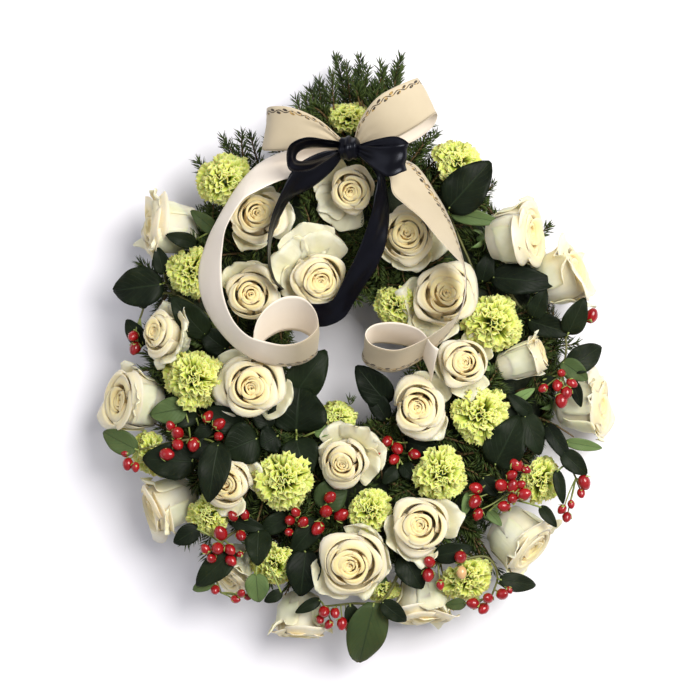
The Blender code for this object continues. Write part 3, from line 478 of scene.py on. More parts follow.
# Sprigs that show at the edge and between the flowers, from root to tip.
LOOSE = np.array((
    (-30, 186, 54, -58, 259, 76), (-42, 183, 54, -72, 244, 88), (-15, 196, 26, -19, 304, 42),
    (9, 196, 26, 5, 303, 44), (22, 192, 40, 26, 296, 62), (32, 188, 46, 47, 302, 70),
    (50, 182, 52, 74, 240, 86), (-94, 168, 54, -112, 226, 82),
    (-112, 156, 54, -156, 198, 70), (122, 142, 54, 139, 174, 82), (-8, -78, 60, -4, -42, 84),
    (-5, 194, 34, -8, 296, 56), (14, 190, 30, 14, 290, 66), (-24, 188, 40, -36, 280, 58),
    (-10, 190, 50, -22, 286, 70), (26, 190, 34, 34, 280, 56), (40, 186, 44, 60, 262, 70),
    (-36, 184, 46, -50, 262, 66), (-20, 190, 30, -30, 268, 46), (2, 190, 46, -2, 280, 74),
    (-46, 180, 56, -86, 218, 84), (-84, 172, 52, -128, 214, 74), (-100, 160, 52, -150, 178, 76),
    (-104, 164, 50, -132, 222, 66), (-88, 174, 44, -104, 224, 60), (62, 178, 52, 96, 214, 78),
    (70, 174, 46, 118, 208, 70), (84, 168, 50, 130, 190, 76), (56, 182, 44, 84, 226, 64),
    (44, 176, 62, 70, 214, 92), (76, 164, 60, 104, 178, 90), (118, -150, 44, 160, -208, 60),
    (128, -140, 44, 174, -194, 52), (100, -160, 50, 132, -214, 66), (-126, -128, 50, -170, -186, 62),
    (-140, -118, 44, -196, -160, 52), (-176, -60, 48, -226, -82, 58), (-176, 60, 48, -216, 96, 60),
    (160, 100, 48, 196, 132, 66), (182, 10, 48, 226, 14, 56), (182, -60, 48, 222, -80, 60),
    (100, -165, 44, 128, -214, 54), (140, -158, 44, 140, -214, 52), (84, -175, 48, 92, -228, 56),
    (60, -180, 46, 46, -236, 52), (-100, -165, 48, -112, -216, 56), (-90, -170, 48, -84, -228, 54),
    (-60, -185, 46, -70, -240, 52), (-126, -150, 48, -148, -206, 54),
    (110, -165, 50, 138, -205, 60), (120, -170, 40, 132, -222, 50), (105, -180, 46, 120, -230, 52),
    (128, -160, 54, 150, -196, 62), (118, -172, 48, 146, -216, 56)), float)

# Sprigs bound flat along the ring's outer flank, and then its inner flank, down to the table.
# Each runs round the ring by its drift.
flank, outer_flank = 290, 230
a = draw.uniform(0, 2 * np.pi, flank)
drift = draw.choice((-1.0, 1.0), flank) * draw.uniform(0.13, 0.24, flank)
outer = np.arange(flank) < outer_flank
wall = np.where(outer, draw.uniform(199, 203, flank), draw.uniform(75, 78, flank))
low = draw.uniform(6, 46, flank)
drift = drift * np.where(outer, 1.0, 2.0)
roots = np.concatenate([roots, np.stack([wall * np.cos(a), wall * np.sin(a), low], -1)])
wall = wall + np.where(outer, 4, -5)
rise_to = np.clip(low + draw.uniform(-14, 22, flank), 5, 60)
tips = np.concatenate([tips, np.stack([wall * np.cos(a + drift), wall * np.sin(a + drift), rise_to], -1)])

# More sprigs fill the fan behind the bow, each at its own angle from the fan's root, and each
# with a side twig that leaves it partway.
fan = 50
swings = np.radians(draw.uniform(46, 144, fan))
fan_way = level(swings)
fan_low = np.stack([draw.uniform(-10, 26, fan), draw.uniform(184, 194, fan), draw.uniform(24, 56, fan)], -1)
fan_long = (112 - 46 * np.abs(np.cos(swings)) ** 1.2) * draw.uniform(0.62, 0.98, fan)
aside = swings + np.radians(draw.choice((-1.0, 1.0), fan) * draw.uniform(24, 44, fan))
fan_low = np.concatenate([fan_low, fan_low + fan_way * (fan_long * draw.uniform(0.30, 0.58, fan))[:, None]])
fan_way = np.concatenate([fan_way, level(aside)])
fan_long = np.concatenate([fan_long, fan_long * draw.uniform(0.30, 0.42, fan)])
fan_high = fan_low + fan_way * fan_long[:, None] + UP * draw.uniform(0, 24, 2 * fan)[:, None]
roots = np.concatenate([roots, LOOSE[:, :3], fan_low])
tips = np.concatenate([tips, LOOSE[:, 3:], fan_high])

# Each twig bows off its straight line, most in its middle, by a share of its length.
total = len(roots)
span = tips - roots
lengths = np.linalg.norm(span, axis=1)[:, None]
share = np.linspace(0, 1, 8)[None, :, None]
bend = np.stack([draw.normal(0, 0.05, total), draw.normal(0, 0.05, total), np.full(total, -0.07)], -1)
sag = (lengths * bend)[:, None]
twigs = roots[:, None] + span[:, None] * share - sag * 4 * share * (1 - share)

# Needles stand every 2.75 mm along a twig from 4 mm on, in five rows: one at each side, one
# above each of those, and a shorter and sparser one on top.
PITCH = 2.75
slots = np.arange(70)[None, :]
along = (slots * PITCH + 4) / lengths
kept = along < 1.0
straight = unit(span)
hint = np.tile(UP, (total, 1))
hint[count:count + flank] = unit(roots[count:count + flank] * (1, 1, 0)) * np.where(outer, 1, -1)[:, None]
left, upward = across(straight, hint)
row_angles = np.radians([4, 176, 38, 142, 92])
start_points, pointing, flats, reaches, owners = [], [], [], [], []
for row, swing in enumerate(row_angles):
    on_top = row == 4
    if on_top:
        kept = kept & (slots % 2 == 0)
    sprig, slot = np.nonzero(kept)
    s = along[sprig, slot]
    spot = roots[sprig] + span[sprig] * s[:, None] - (sag[sprig, 0] * (4 * s * (1 - s))[:, None])
    turn = swing + draw.normal(0, 0.16, len(s))
    outward = left[sprig] * np.cos(turn)[:, None] + upward[sprig] * np.sin(turn)[:, None]
    forward = np.radians(50 - 26 * s ** 3 + draw.normal(0, 12, len(s)))
    start_points.append(spot)
    pointing.append(unit(straight[sprig] * np.cos(forward)[:, None] + outward * np.sin(forward)[:, None]))
    flats.append(upward[sprig] + 0.3 * left[sprig] * draw.normal(0, 1, len(s))[:, None])
    reaches.append(draw.uniform(13.0, 17.5, len(s)) * (1 - 0.35 * s ** 4) * (0.55 if on_top else 1.0))
    owners.append(sprig)
start_points, pointing, flats = (np.concatenate(x) for x in (start_points, pointing, flats))
reaches, owners = (np.concatenate(x) for x in (reaches, owners))
ends = start_points + pointing * reaches[:, None]

# A needle is left out where its end dips to the table, or where its start, middle or end lies in
# a head, or in or over a leaf.
clear = ends[:, 2] > 1.5
for spots in (start_points, ends, (start_points + ends) / 2):
    for middle, size in zip(heads, head_radii):
        clear &= np.linalg.norm(spots - middle, axis=1) > size
    for *leaf, width in (leaf for parts in BRANCHES.values() for leaf in parts["leaves"]):
        low, way = np.array(leaf[:3], float), np.array(leaf[3:], float) - leaf[:3]
        rel = spots - low
        far = rel @ way / (way @ way)
        beside = np.linalg.norm((rel - far[:, None] * way)[:, :2], axis=1)
        clear &= ~((far > -0.05) & (far < 1.12) & (beside < 0.66 * width) & (rel[:, 2] > far * way[2] - 2))


def held(tree, name):
    """The number that a piece holds at each of its points under this name."""
    return node(tree, "ShaderNodeAttribute", attribute_name=name).outputs["Fac"]


def calc(tree, operation, a, b=0.0):
    """One sum on numbers or sockets."""
    return node(tree, "ShaderNodeMath", [(0, a), (1, b)], operation=operation).outputs[0]


fir, tree, shader = material("fir_needles", (0.03, 0.08, 0.03), 0.45, Specular_IOR_Level=0.2)
bark = held(tree, "bark")
green = mixed(tree, held(tree, "tone"), (0.008, 0.024, 0.006), (0.092, 0.130, 0.029))
paint(tree, shader, mixed(tree, bark, green, (0.11, 0.070, 0.030)))
tree.links.new(calc(tree, "ADD", calc(tree, "MULTIPLY", bark, 0.35), 0.42), shader.inputs["Roughness"])

bark_core, tree, shader = material("bound_sprigs", (0.018, 0.028, 0.012), 0.85)
mottle = speckle(tree, 90, 6, 0.7)
paint(tree, shader, dappled(tree, mottle, 0.4, 0.65, (0.007, 0.016, 0.006), (0.035, 0.045, 0.018)))
bump(tree, shader, mottle, 0.004)

# The bound inner ends of the sprigs: the coat's section of radius and height, four stations to
# a side, carried round the ring. Its outer skin, stations 20 to 43, has lumps.
section = np.array(((96, 2), (96, 40), (138, 56.5), (181, 40), (181, 2), (197, 2), (199, 28), (185, 53),
                    (138, 67), (88, 56), (77, 32), (78, 2)), float)
pairs = zip(section, np.roll(section, -1, 0))
section = np.concatenate([np.linspace(a, b, 4, endpoint=False) for a, b in pairs])
turns = np.linspace(0, 2 * np.pi, 120, endpoint=False)[:, None]
station = np.arange(len(section))[None]
lump = 1.6 * np.sin(9 * turns) * np.cos(station * 0.9) + 1.2 * np.sin(23 * turns + 1) * np.sin(station * 1.7)
lump = np.where((station >= 20) & (station < 44), lump, 0)
r = section[None, :, 0] + lump * 0.6
z = section[None, :, 1] + lump * (section[None, :, 1] > 20)
core = np.stack([r * np.cos(turns), r * np.sin(turns), z + 0 * r], -1)
at = numbered(*core.shape[:2])
right, below = np.roll(at, -1, 0), np.roll(at, -1, 1)
piece("sprig_core", core, [np.stack([at, right, np.roll(right, -1, 1), below], -1)], bark_core,
      [f"fir_{i}" for i in range(1, 7)])

# A twig that lost most of its needles is left out too.
left_over, at_first = (np.bincount(x, minlength=total) for x in (owners[clear], owners))
covered = left_over / np.maximum(at_first, 1)
root_angle = np.degrees(np.arctan2(roots[:, 1], roots[:, 0])) % 360
sector = (np.searchsorted(SECTORS, root_angle, side="right") - 1) % 6
for i in range(6):
    mine = clear & (sector[owners] == i)
    p, f = needles(start_points[mine], pointing[mine], flats[mine], reaches[mine])
    shade = np.repeat(np.clip(draw.normal(0.45, 0.25, mine.sum()), 0, 1), 5)
    twig_p, twig_f = tubes(twigs[(sector == i) & (covered > 0.4)], np.linspace(1.5, 0.7, 8)[None], 5)
    points, faces, layers = joined([(p, f, {"bark": 0.0, "tone": shade}),
                                    (twig_p, twig_f, {"bark": 1.0, "tone": 0.0})])
    piece(f"fir_sprigs_{i + 1}", points, faces, fir, [f"fir_{i + 1}"], **layers)


# Roses. Cream roses stand in the fir on their stems: a tight spiral of petals in the middle,
# wider ones with rolled lips round it, and a few greenish guard petals outside.


def smooth_path(points, per=6):
    """A path through every point, each stretch a cubic whose end slopes are set by the points
    beside it."""
    p = np.asarray(points, float)
    p = np.concatenate([2 * p[:1] - p[1:2], p, 2 * p[-1:] - p[-2:-1]])
    t = np.linspace(0, 1, per, endpoint=False)[None, :, None]
    a, b, c, d = (x[:, None] for x in (p[:-3], p[1:-2], p[2:-1], p[3:]))
    body = 0.5 * (2 * b + (c - a) * t + (2 * a - 5 * b + 4 * c - d) * t ** 2
                  + (3 * b - a - 3 * c + d) * t ** 3)
    return np.concatenate([body.reshape(-1, p.shape[1]), p[-2:-1]])


def through(stations, share):
    """The smooth cubic path through five stations, each an array, read at a share from 0 to 1."""
    weights = smooth_path(np.eye(5), 8)
    at = np.linspace(0, 1, len(weights))
    return sum(np.interp(share, at, weights[:, j]) * station for j, station in enumerate(stations))


def sheets(grid, thickness):
    """Thin closed skins on grids (k, a, b, 3): each grid moved half the thickness along its
    normal to both sides, with a rim joining the two."""
    k, a, b = grid.shape[:3]
    normal = unit(np.cross(np.gradient(grid, axis=1), np.gradient(grid, axis=2)))
    half = normal * thickness / 2
    points = np.stack([grid + half, grid - half], 1)
    at = numbered(k, 2, a, b)
    front, back = at[:, 0], at[:, 1]
    faces = [np.stack([front[:, :-1, :-1], front[:, 1:, :-1], front[:, 1:, 1:], front[:, :-1, 1:]], -1),
             np.stack([back[:, :-1, :-1], back[:, :-1, 1:], back[:, 1:, 1:], back[:, 1:, :-1]], -1)]
    loop = [(slice(0, a - 1), 0), (a - 1, slice(0, b - 1)),
            (slice(a - 1, 0, -1), b - 1), (0, slice(b - 1, 0, -1))]
    rim = [np.concatenate([layer[(slice(None), *cut)] for cut in loop], 1) for layer in (front, back)]
    nxt = [np.roll(x, -1, axis=1) for x in rim]
    faces.append(np.stack([rim[0], rim[1], nxt[1], nxt[0]], -1))
    return points, [f.reshape(-1, 4) for f in faces]


def both(values):
    """A layer on grids, repeated for the two skins of each sheet."""
    return np.stack([values, values], 1)


def skin_uv(first, second):
    """The uv pairs of the two skins of each sheet, from two layers on grids."""
    return np.stack([both(first), both(second)], -1).reshape(-1, 2)


def rose_grids(radius, length, cup, flare, seed, guards):
    """Petals in the rose's own frame. Each rises from the base to its belly, hugs the petal
    inside it, leans out to its lip and rolls over. Its lip stands out most in the middle, and
    its two sides come in to the petal inside, so that each shows as a crescent from above.

    A cup of 1 is a side rose and 0 one that faces up, and a flare of 1 rolls the lips further
    out. The guards come last in every array."""
    rng = np.random.default_rng(seed)
    # The share of the mouth's radius at each petal's lip: the heart, the middle and the rim.
    lips = np.concatenate([np.linspace(0.05, 0.34, 8), np.linspace(0.42, 0.68, rng.integers(4, 7)),
                           np.linspace(0.78, 1.0, rng.integers(4, 6)), np.full(len(guards), 1.06)])
    count, first = len(lips), len(lips) - len(guards)
    lips[:first] += rng.uniform(-0.016, 0.016, first)
    k = np.arange(count)

    def column(values):
        return np.asarray(values, float)[:, None, None]

    def wild(low, high):
        return column(rng.uniform(low, high, count))

    guard = column(k >= first) > 0
    t = column(np.minimum(lips, 1.0))
    inner = column(np.interp(k - 1.7, k, lips))
    u = np.linspace(-1, 1, 15)[None, :, None]
    v = np.concatenate([[0, 0.2, 0.4], np.linspace(0.52, 1, 6)])[None, None, :]
    turn = 137.5 * k + rng.uniform(-34, 34, count)
    spread = np.ones(count)
    turn[first:], spread[first:] = zip(*guards)
    full = np.where(guard, 1.0, np.where(u < 0, 1 - np.abs(u) ** 2.6, 1 - 0.80 * np.abs(u) ** 3.4))
    lip_r = radius * np.where(guard, (1 + (column(spread) - 1) * (1 - 0.6 * cup)) * wild(0.96, 1.04),
                              t * (0.90 + 0.12 * cup * t ** 2) * wild(0.93, 1.07))
    lip_z = rise(t, length, cup) * (1 + t * wild(-0.05, 0.05) - cup * t ** 3 * wild(0.0, 0.30))
    lip_z = np.where(guard, length * (0.44 + 0.34 * cup) * wild(0.9, 1.12), lip_z)
    throat_r = radius * np.where(guard, 0.92, inner * 0.93)
    throat_z = rise(np.minimum(inner, 1.0), length, cup) - length * (0.02 + 0.055 * t)
    throat_z = np.where(guard, lip_z - 0.14 * length, throat_z)
    belly = radius * np.where(guard, 0.80, 0.28 + 0.60 * t)
    roll = np.where(guard, 0.10, 0.008 + (0.12 + 0.03 * cup + 0.15 * flare) * t ** 2)
    roll = radius * roll * wild(0.4, 1.5) * full
    reach = v * (1 - np.where(guard, 0.22, 0.10) * np.abs(u) ** 2.4)
    lip_r = throat_r + (lip_r - throat_r) * full
    lip_z = lip_z - length * (0.03 + 0.09 * t) * (1 - full)
    rho = through([0.05 * radius + 0 * t, belly, throat_r, lip_r, lip_r + roll], reach)
    fall = np.where(guard, wild(-0.6, 1.4), 0.75)
    z = through([0 * t, 0.26 * length + 0 * t, throat_z, lip_z, lip_z - fall * roll], reach)
    point = np.clip(1 - np.abs(u - wild(-0.45, 0.45)) / 0.75, 0, 1)
    tip = radius * (0.01 + (0.13 + 0.10 * cup + 0.12 * flare) * t)
    tip = tip * point ** 1.3 * reach ** 4 * wild(-0.1, 1.7)
    wave = radius * (0.012 + 0.034 * t ** 1.5) * np.sin(u * wild(3.0, 7.5) + wild(0, 6.3)) * reach ** 4
    crease = np.where(guard, (0.11 * radius * np.sin(u * wild(4, 7) + 2 * reach + wild(0, 6.3))
                              + 0.05 * radius * np.sin(u * 13 + 5 * reach + wild(0, 6.3))) * reach ** 2, 0.0)
    rho = rho + wave + tip * (1 - 0.4 * cup)
    z = z + np.where(guard, 1.8, 0.8) * wave + crease + 0.7 * cup * tip
    # Half the angle that a petal covers round the axis. A guard petal narrows toward its tip.
    wrap = np.where(guard, 0.86, 1.95 - 0.72 * t)
    wrap = wrap * (0.75 + 0.25 * np.sin(np.pi / 2 * np.minimum(reach / 0.6, 1)))
    wrap = wrap * (1 - np.where(guard, 0.58, 0.0) * reach ** 3)
    theta = np.radians(column(turn)) + wrap * u
    lean = np.radians(rng.uniform(0, 360))
    shift = radius * 0.13 * (1 - t) * reach * (1 - cup)
    x = rho * np.cos(theta) + shift * np.cos(lean)
    y = rho * np.sin(theta) + shift * np.sin(lean)
    # The layer that warms the colour is strongest deep in the throat and in the middle. In the middle it
    # is the rose's own warm heart. Deep in each throat, under the lip, it is painted light: a warm glow
    # that stands in for light shining through the petals, and the guard petals get a faint share of it.
    # shade is the painted glow: strongest just past the throat, gone by the rolled lip and low on the belly.
    shade = np.clip(1 - np.abs(reach - 0.62) / 0.27, 0, 1)
    heart_and_glow = np.clip((1 - t) ** 1.1 * 0.72 + shade * (1.20 - 0.70 * t), 0, 1)
    heart_and_glow = np.where(guard, 0.12 * shade, heart_and_glow)
    green = np.where(guard, 0.15 + 0.75 * (1 - reach) + 0.35 * reach ** 8,
                     np.clip(t - 0.7, 0, 1) * (1 - reach))
    return np.stack([x, y, z], -1), heart_and_glow, green + 0 * reach, (u + 0 * reach) * 0.5 + 0.5, reach


def rise(t, length, cup):
    """Height of a lip at a share t of the mouth's radius: a dome, or a shallow cup in a side
    rose, each a square of the share."""
    return length * ((1 - cup) * (0.88 + 0.34 * t - 0.56 * t ** 2) + cup * (0.84 + 0.20 * t - 0.05 * t ** 2))


def barrel(stations, sides):
    """The faces of rings of points, with a cap at each end."""
    at = numbered(stations, sides)
    nxt = np.roll(at, -1, 1)
    return [np.stack([at[:-1], nxt[:-1], nxt[1:], at[1:]], -1), at[:1, ::-1], at[-1:]]


def lathe(profile, sides=14):
    """A profile of radius and height turned round the axis, with a small cap at both ends."""
    profile = np.asarray(profile, float)
    a = np.linspace(0, 2 * np.pi, sides, endpoint=False)
    ring = np.stack([np.cos(a), np.sin(a)], -1)
    rise_by = np.broadcast_to(profile[:, 1, None, None], (len(profile), sides, 1))
    body = np.concatenate([ring[None] * profile[:, 0, None, None], rise_by], -1)
    return body.reshape(-1, 3), barrel(len(profile), sides)


def blades(base_r, base_z, lengths, widths, turns, opening, curl):
    """Narrow green leaves round an axis: half the width follows a sine that swells and tapers,
    and the tilt from the axis grows along the blade from its opening by its curl, in degrees."""
    v = np.linspace(0, 1, 7)[None, None, :]
    u = np.linspace(-1, 1, 3)[None, :, None]
    columns = (np.asarray(x, float)[:, None, None] for x in (lengths, widths, turns, opening))
    lengths, widths, turns, opening = columns
    tilt = np.radians(opening + curl * v)
    rho = base_r + lengths * v * np.sin(tilt)
    z = base_z + lengths * v * np.cos(tilt)
    half = widths / 2 * np.sin(np.pi * (0.12 + 0.86 * v) ** 0.8) * u
    a = np.radians(turns)
    x = rho * np.cos(a) - half * np.sin(a)
    y = rho * np.sin(a) + half * np.cos(a)
    return np.stack([x, y, z + 0 * half], -1)


petal, tree, shader = material("rose_petal", (0.93, 0.88, 0.74), 0.55, Subsurface_Weight=0.5,
                               Subsurface_Scale=0.004, Sheen_Weight=0.1)
shader.inputs["Subsurface Radius"].default_value = (1.0, 0.75, 0.45)
cloud = speckle(tree, 45, 3, 0.55)
veins = node(tree, "ShaderNodeUVMap", uv_map="UVMap").outputs[0]
veins = node(tree, "ShaderNodeMapping", [("Vector", veins), ("Scale", (26, 2.5, 1))]).outputs[0]
veins = speckle(tree, 1.0, 4, 0.6, veins)
cream = dappled(tree, cloud, 0.35, 0.7, (0.76, 0.655, 0.47), (0.82, 0.735, 0.565))
# The warming layer turns the cream warm yellow: the rose's own heart in the middle, and a painted glow of
# light through the petals in the throats.
warm = mixed(tree, held(tree, "heart_and_glow"), cream, (1.0, 0.75, 0.32))
leafy = dappled(tree, cloud, 0.3, 0.7, (0.66, 0.72, 0.38), (0.84, 0.84, 0.55))
tint = mixed(tree, calc(tree, "MULTIPLY", held(tree, "green"), 0.85), warm, leafy)
tint = mixed(tree, calc(tree, "MULTIPLY", ramp(tree, veins, 0.62, 0.8), 0.18), tint, (0.70, 0.62, 0.42))
paint(tree, shader, tint)
bump(tree, shader, veins, 0.0006, 0.35)

calyx, tree, shader = material("calyx_green", (0.16, 0.26, 0.08), 0.5)
patch = speckle(tree, 120, 3)
paint(tree, shader, dappled(tree, patch, 0.35, 0.7, (0.10, 0.19, 0.05), (0.24, 0.34, 0.12)))


def stem_root(base):
    """Where a stem ends inside the fir: under a flower on top, or inward of one at the side."""
    far, a = math.hypot(base[0], base[1]), math.atan2(base[1], base[0])
    if far > 186:
        r, z = 189.5, min(max(base[2] - 12, 12.0), 34.0)
    else:
        r = min(max(far, 86.0), 170.0)
        z = float(np.interp(r, (70, 85, 138, 190, 205), (30, 62, 74, 60, 30))) - 13
    return np.array([r * math.cos(a), r * math.sin(a), z])


def green_piece(name, bloom_parts, stem, base, axis, cad_node):
    """A flower's green parts made one: those in its own frame, each points and faces, and its stem."""
    placed = [(stood(points.reshape(-1, 3), base, axis), faces, {}) for points, faces in bloom_parts]
    points, faces, _ = joined(placed + [(*stem, {})])
    piece(name, points, faces, calyx, [cad_node])


PETAL_THICK, SEPAL_THICK = 0.55, 0.7
for i, (base, axis, row, guards) in enumerate(zip(rose_base, rose_axis, ROSES, GUARDS), 1):
    elevation, radius, length, bud = row[4:]
    cup = 1.0 if bud else float(np.clip((60 - elevation) / 30, 0, 1))
    flare = float(elevation < 20 and not bud)
    grid, heart_and_glow, green, sideways, upwards = rose_grids(radius, length * 0.98, cup, flare, 100 + i, guards)
    points, faces = sheets(grid, PETAL_THICK)
    layers = {"uv": skin_uv(sideways, upwards), "heart_and_glow": both(heart_and_glow), "green": both(green)}
    points = stood(points.reshape(-1, 3), base, axis)
    piece(f"rose_bloom_{i:02d}", points, faces, petal, [f"rose_{i:02d}"], **layers)
    hip = lathe([(0.4, -9), (2.4, -8.6), (3.2, -6), (4.6, -3), (5.2, 0), (4.4, 3), (2.5, 4.5), (0.3, 5)])
    sepals = sheets(blades(4.4, -1, [14, 12, 15, 13, 11], [6, 5, 6, 5, 5], np.arange(5) * 72 + i * 31,
                           np.full(5, 75.0), 55), SEPAL_THICK)
    stem = tubes(np.linspace(stem_root(base), base - axis * 4, 8)[None], radii=2.6, sides=10)
    green_piece(f"rose_green_{i:02d}", [hip, sepals], stem, base, axis, f"rose_{i:02d}")


# Carnations. Pale green heads packed with ruffled petals whose lips are finely toothed, each
# in a smooth calyx on a thin stem pushed into the fir.


def carnation_grids(radius, seed):
    """Petals from the middle of the head to its domed skin. Each is a fan that ripples as a
    sine across its width, more toward the lip, where every other point stands out as a tooth."""
    rng = np.random.default_rng(seed)
    count, stations = 84, 13
    k = np.arange(count) + 0.5
    cosine = 1 - k / count * 1.28
    sine = np.sqrt(np.maximum(1 - cosine ** 2, 0))
    a = np.radians(137.508) * k
    ways = np.stack([sine * np.cos(a), sine * np.sin(a), cosine], -1)
    ways = unit(ways + rng.normal(0, 0.15, ways.shape))
    tangent = unit(np.cross(ways, rng.normal(0, 1, ways.shape)))
    u = np.linspace(-1, 1, stations)[None, :, None]
    v = np.array((0.0, 0.6, 1.0))[None, None, :]

    def wild(low, high):
        return rng.uniform(low, high, count)[:, None, None]

    reach = (0.30 + 0.70 * v) * wild(0.84, 1.10) * (1 - 0.12 * u ** 2)
    teeth = np.where(np.arange(stations) % 2 == 0, 1.0, -1.0)[None, :, None] * v ** 5
    reach = reach + teeth * rng.uniform(0.01, 0.04, (count, stations, 1))
    half = 0.33 * (0.25 + 0.75 * v) * u * wild(0.8, 1.25)
    ripple = 0.095 * v ** 1.2 * np.sin(u * wild(6.0, 11.0) + wild(0, 6.3)) + 0.035 * teeth * wild(-1, 1)
    normal = np.cross(ways, tangent)
    grid = (ways[:, None, None] * reach[..., None] + tangent[:, None, None] * (half * (1 + 0 * v))[..., None]
            + normal[:, None, None] * ripple[..., None])
    # The head is a flattened ball with three faint lobes round it.
    lobes = 1 + 0.07 * np.sin(3 * a + rng.uniform(0, 6.3)) * sine
    grid = grid * radius * 1.06 * lobes[:, None, None, None] * np.array([1, 1, 0.72])
    return grid + np.array([0, 0, 0.24 * radius]), v + 0 * half


frill, tree, shader = material("carnation_petal", (0.60, 0.72, 0.28), 0.6, Subsurface_Weight=0.2,
                               Subsurface_Scale=0.003)
lip = held(tree, "lip")
cloud = speckle(tree, 110, 3, 0.6)
# Along each petal the colour runs from dark green at the head's middle, which is painted shade in its depths,
# to lime at the lips, and the palest tips are a painted highlight.
depth_shade = dappled(tree, lip, 0.25, 0.75, (0.25, 0.31, 0.025), (0.52, 0.59, 0.09))
light = dappled(tree, cloud, 0.35, 0.7, (0.55, 0.60, 0.085), (0.76, 0.76, 0.25))
light = mixed(tree, calc(tree, "MULTIPLY", ramp(tree, lip, 0.85, 1.0), 0.22), light, (0.92, 0.92, 0.60))
paint(tree, shader, dappled(tree, lip, 0.6, 1.0, depth_shade, light))

FRILL_THICK = 0.5
for i, (base, axis, radius) in enumerate(zip(carnation_base, carnation_axis, CARNATIONS[:, 5]), 1):
    grid, lips = carnation_grids(radius, 300 + i)
    points, faces = sheets(grid, FRILL_THICK)
    # The head stands on the calyx's shoulder, at this height.
    shoulder = 6 + 0.2 * radius
    points = stood(points.reshape(-1, 3) + np.array([0, 0, shoulder]), base, axis)
    piece(f"carnation_head_{i:02d}", points, faces, frill, [f"carnation_{i:02d}"], lip=both(lips))
    husk = lathe([(0.4, -4), (2.2, -3.6), (3.6, -1), (5.0, shoulder * 0.5), (6.2, shoulder),
                  (7.4, shoulder + 6), (3, shoulder + 8), (0.4, shoulder + 8.4)])
    stem = tubes(np.linspace(stem_root(base), base - axis * 2, 8)[None], radii=2.2, sides=8)
    green_piece(f"carnation_green_{i:02d}", [husk], stem, base, axis, f"carnation_{i:02d}")


# Hypericum. Leafy stems stand in the fir, with dark blunt leaves in pairs and clusters of
# glossy red berries, each on its own stalk and held by five small green sepals.

# How much lighter some leaves are than the rest, by their place in the list: undersides and
# young growth.
PALE = {"hypericum_left": {5: 0.22, 3: 0.04}, "hypericum_lower_left": {0: 0.4, 6: 0.35},
        "hypericum_bottom_left": {5: 0.6, 4: 0.5}, "hypericum_inner_left": {9: 1.0, 0: 0.2},
        "hypericum_inner_right": {2: 0.8}, "hypericum_upper_right": {10: 0.5, 0: 0.35},
        "hypericum_right": {7: 1.0, 8: 0.7, 12: 0.8, 2: 0.6}, "hypericum_bottom": {6: 0.22, 3: 0.3}}


def leaf_grid(base, tip, width, rng):
    """A leaf blade: half its width follows a sine that is widest before the middle, the blade
    arches upward, dips along the midrib, swells between its veins and waves at its margin."""
    base, tip = np.asarray(base, float), np.asarray(tip, float)
    way = (tip - base) * 1.12
    length = np.linalg.norm(way)
    side, up = across(way)
    s = np.linspace(0, 1, 13)[:, None]
    u = np.linspace(-1, 1, 9)[None, :]
    half = width * 0.68 * (np.sin(np.pi * (0.02 + 0.97 * s) ** 0.72) ** 0.66)
    arch = length * 0.09 * 4 * s * (1 - s)
    dip = width * (0.13 * np.abs(u) ** 1.3 * np.sin(np.pi * s) ** 0.5)
    turns = 2 * np.pi * (rng.uniform(1.4, 2.4) * s + rng.uniform(0, 1))
    wave = width * 0.08 * np.sin(turns + 1.2 * u) * np.abs(u) ** 2
    quilt = 0.20 * np.abs(np.sin(np.pi * 7 * (s - 0.45 * np.abs(u)))) * (1 - u ** 2) * np.sin(np.pi * s)
    roll = rng.uniform(-0.22, 0.22) * half * u
    droop = -length * rng.uniform(0.0, 0.10) * s ** 3
    lift = (arch - 0.35 * width * 0.13 + dip + wave + quilt + roll + droop)[..., None]
    grid = base + way * (s[..., None] + 0 * u[..., None]) + side * (half * u)[..., None] + up * lift
    return grid, u * 0.5 + 0.5 + 0 * s, s + 0 * u


def berry(middle, axis, radius):
    """A round fruit, a little longer than wide and drawn to a small point at its far end."""
    a = np.linspace(0.10, np.pi - 0.06, 9)
    profile = np.stack([np.sin(a) * radius * 0.96, -np.cos(a) * radius * np.where(a > 2.6, 1.30, 1.17)], -1)
    body, faces = lathe(profile, 12)
    return stood(body, middle, axis), faces


def own_uv(tree):
    """The two numbers of a piece's own uv layer."""
    pair = node(tree, "ShaderNodeUVMap", uv_map="UVMap").outputs[0]
    return node(tree, "ShaderNodeSeparateXYZ", [("Vector", pair)]).outputs[:2]


foliage, tree, shader = material("hypericum_leaf", (0.03, 0.06, 0.045), 0.46, Specular_IOR_Level=0.09,
                                 Subsurface_Weight=0.03)
across_leaf, along_leaf = own_uv(tree)
sideways = calc(tree, "ABSOLUTE", calc(tree, "SUBTRACT", across_leaf, 0.5))
midrib = calc(tree, "SUBTRACT", 1.0, ramp(tree, sideways, 0.010, 0.032))
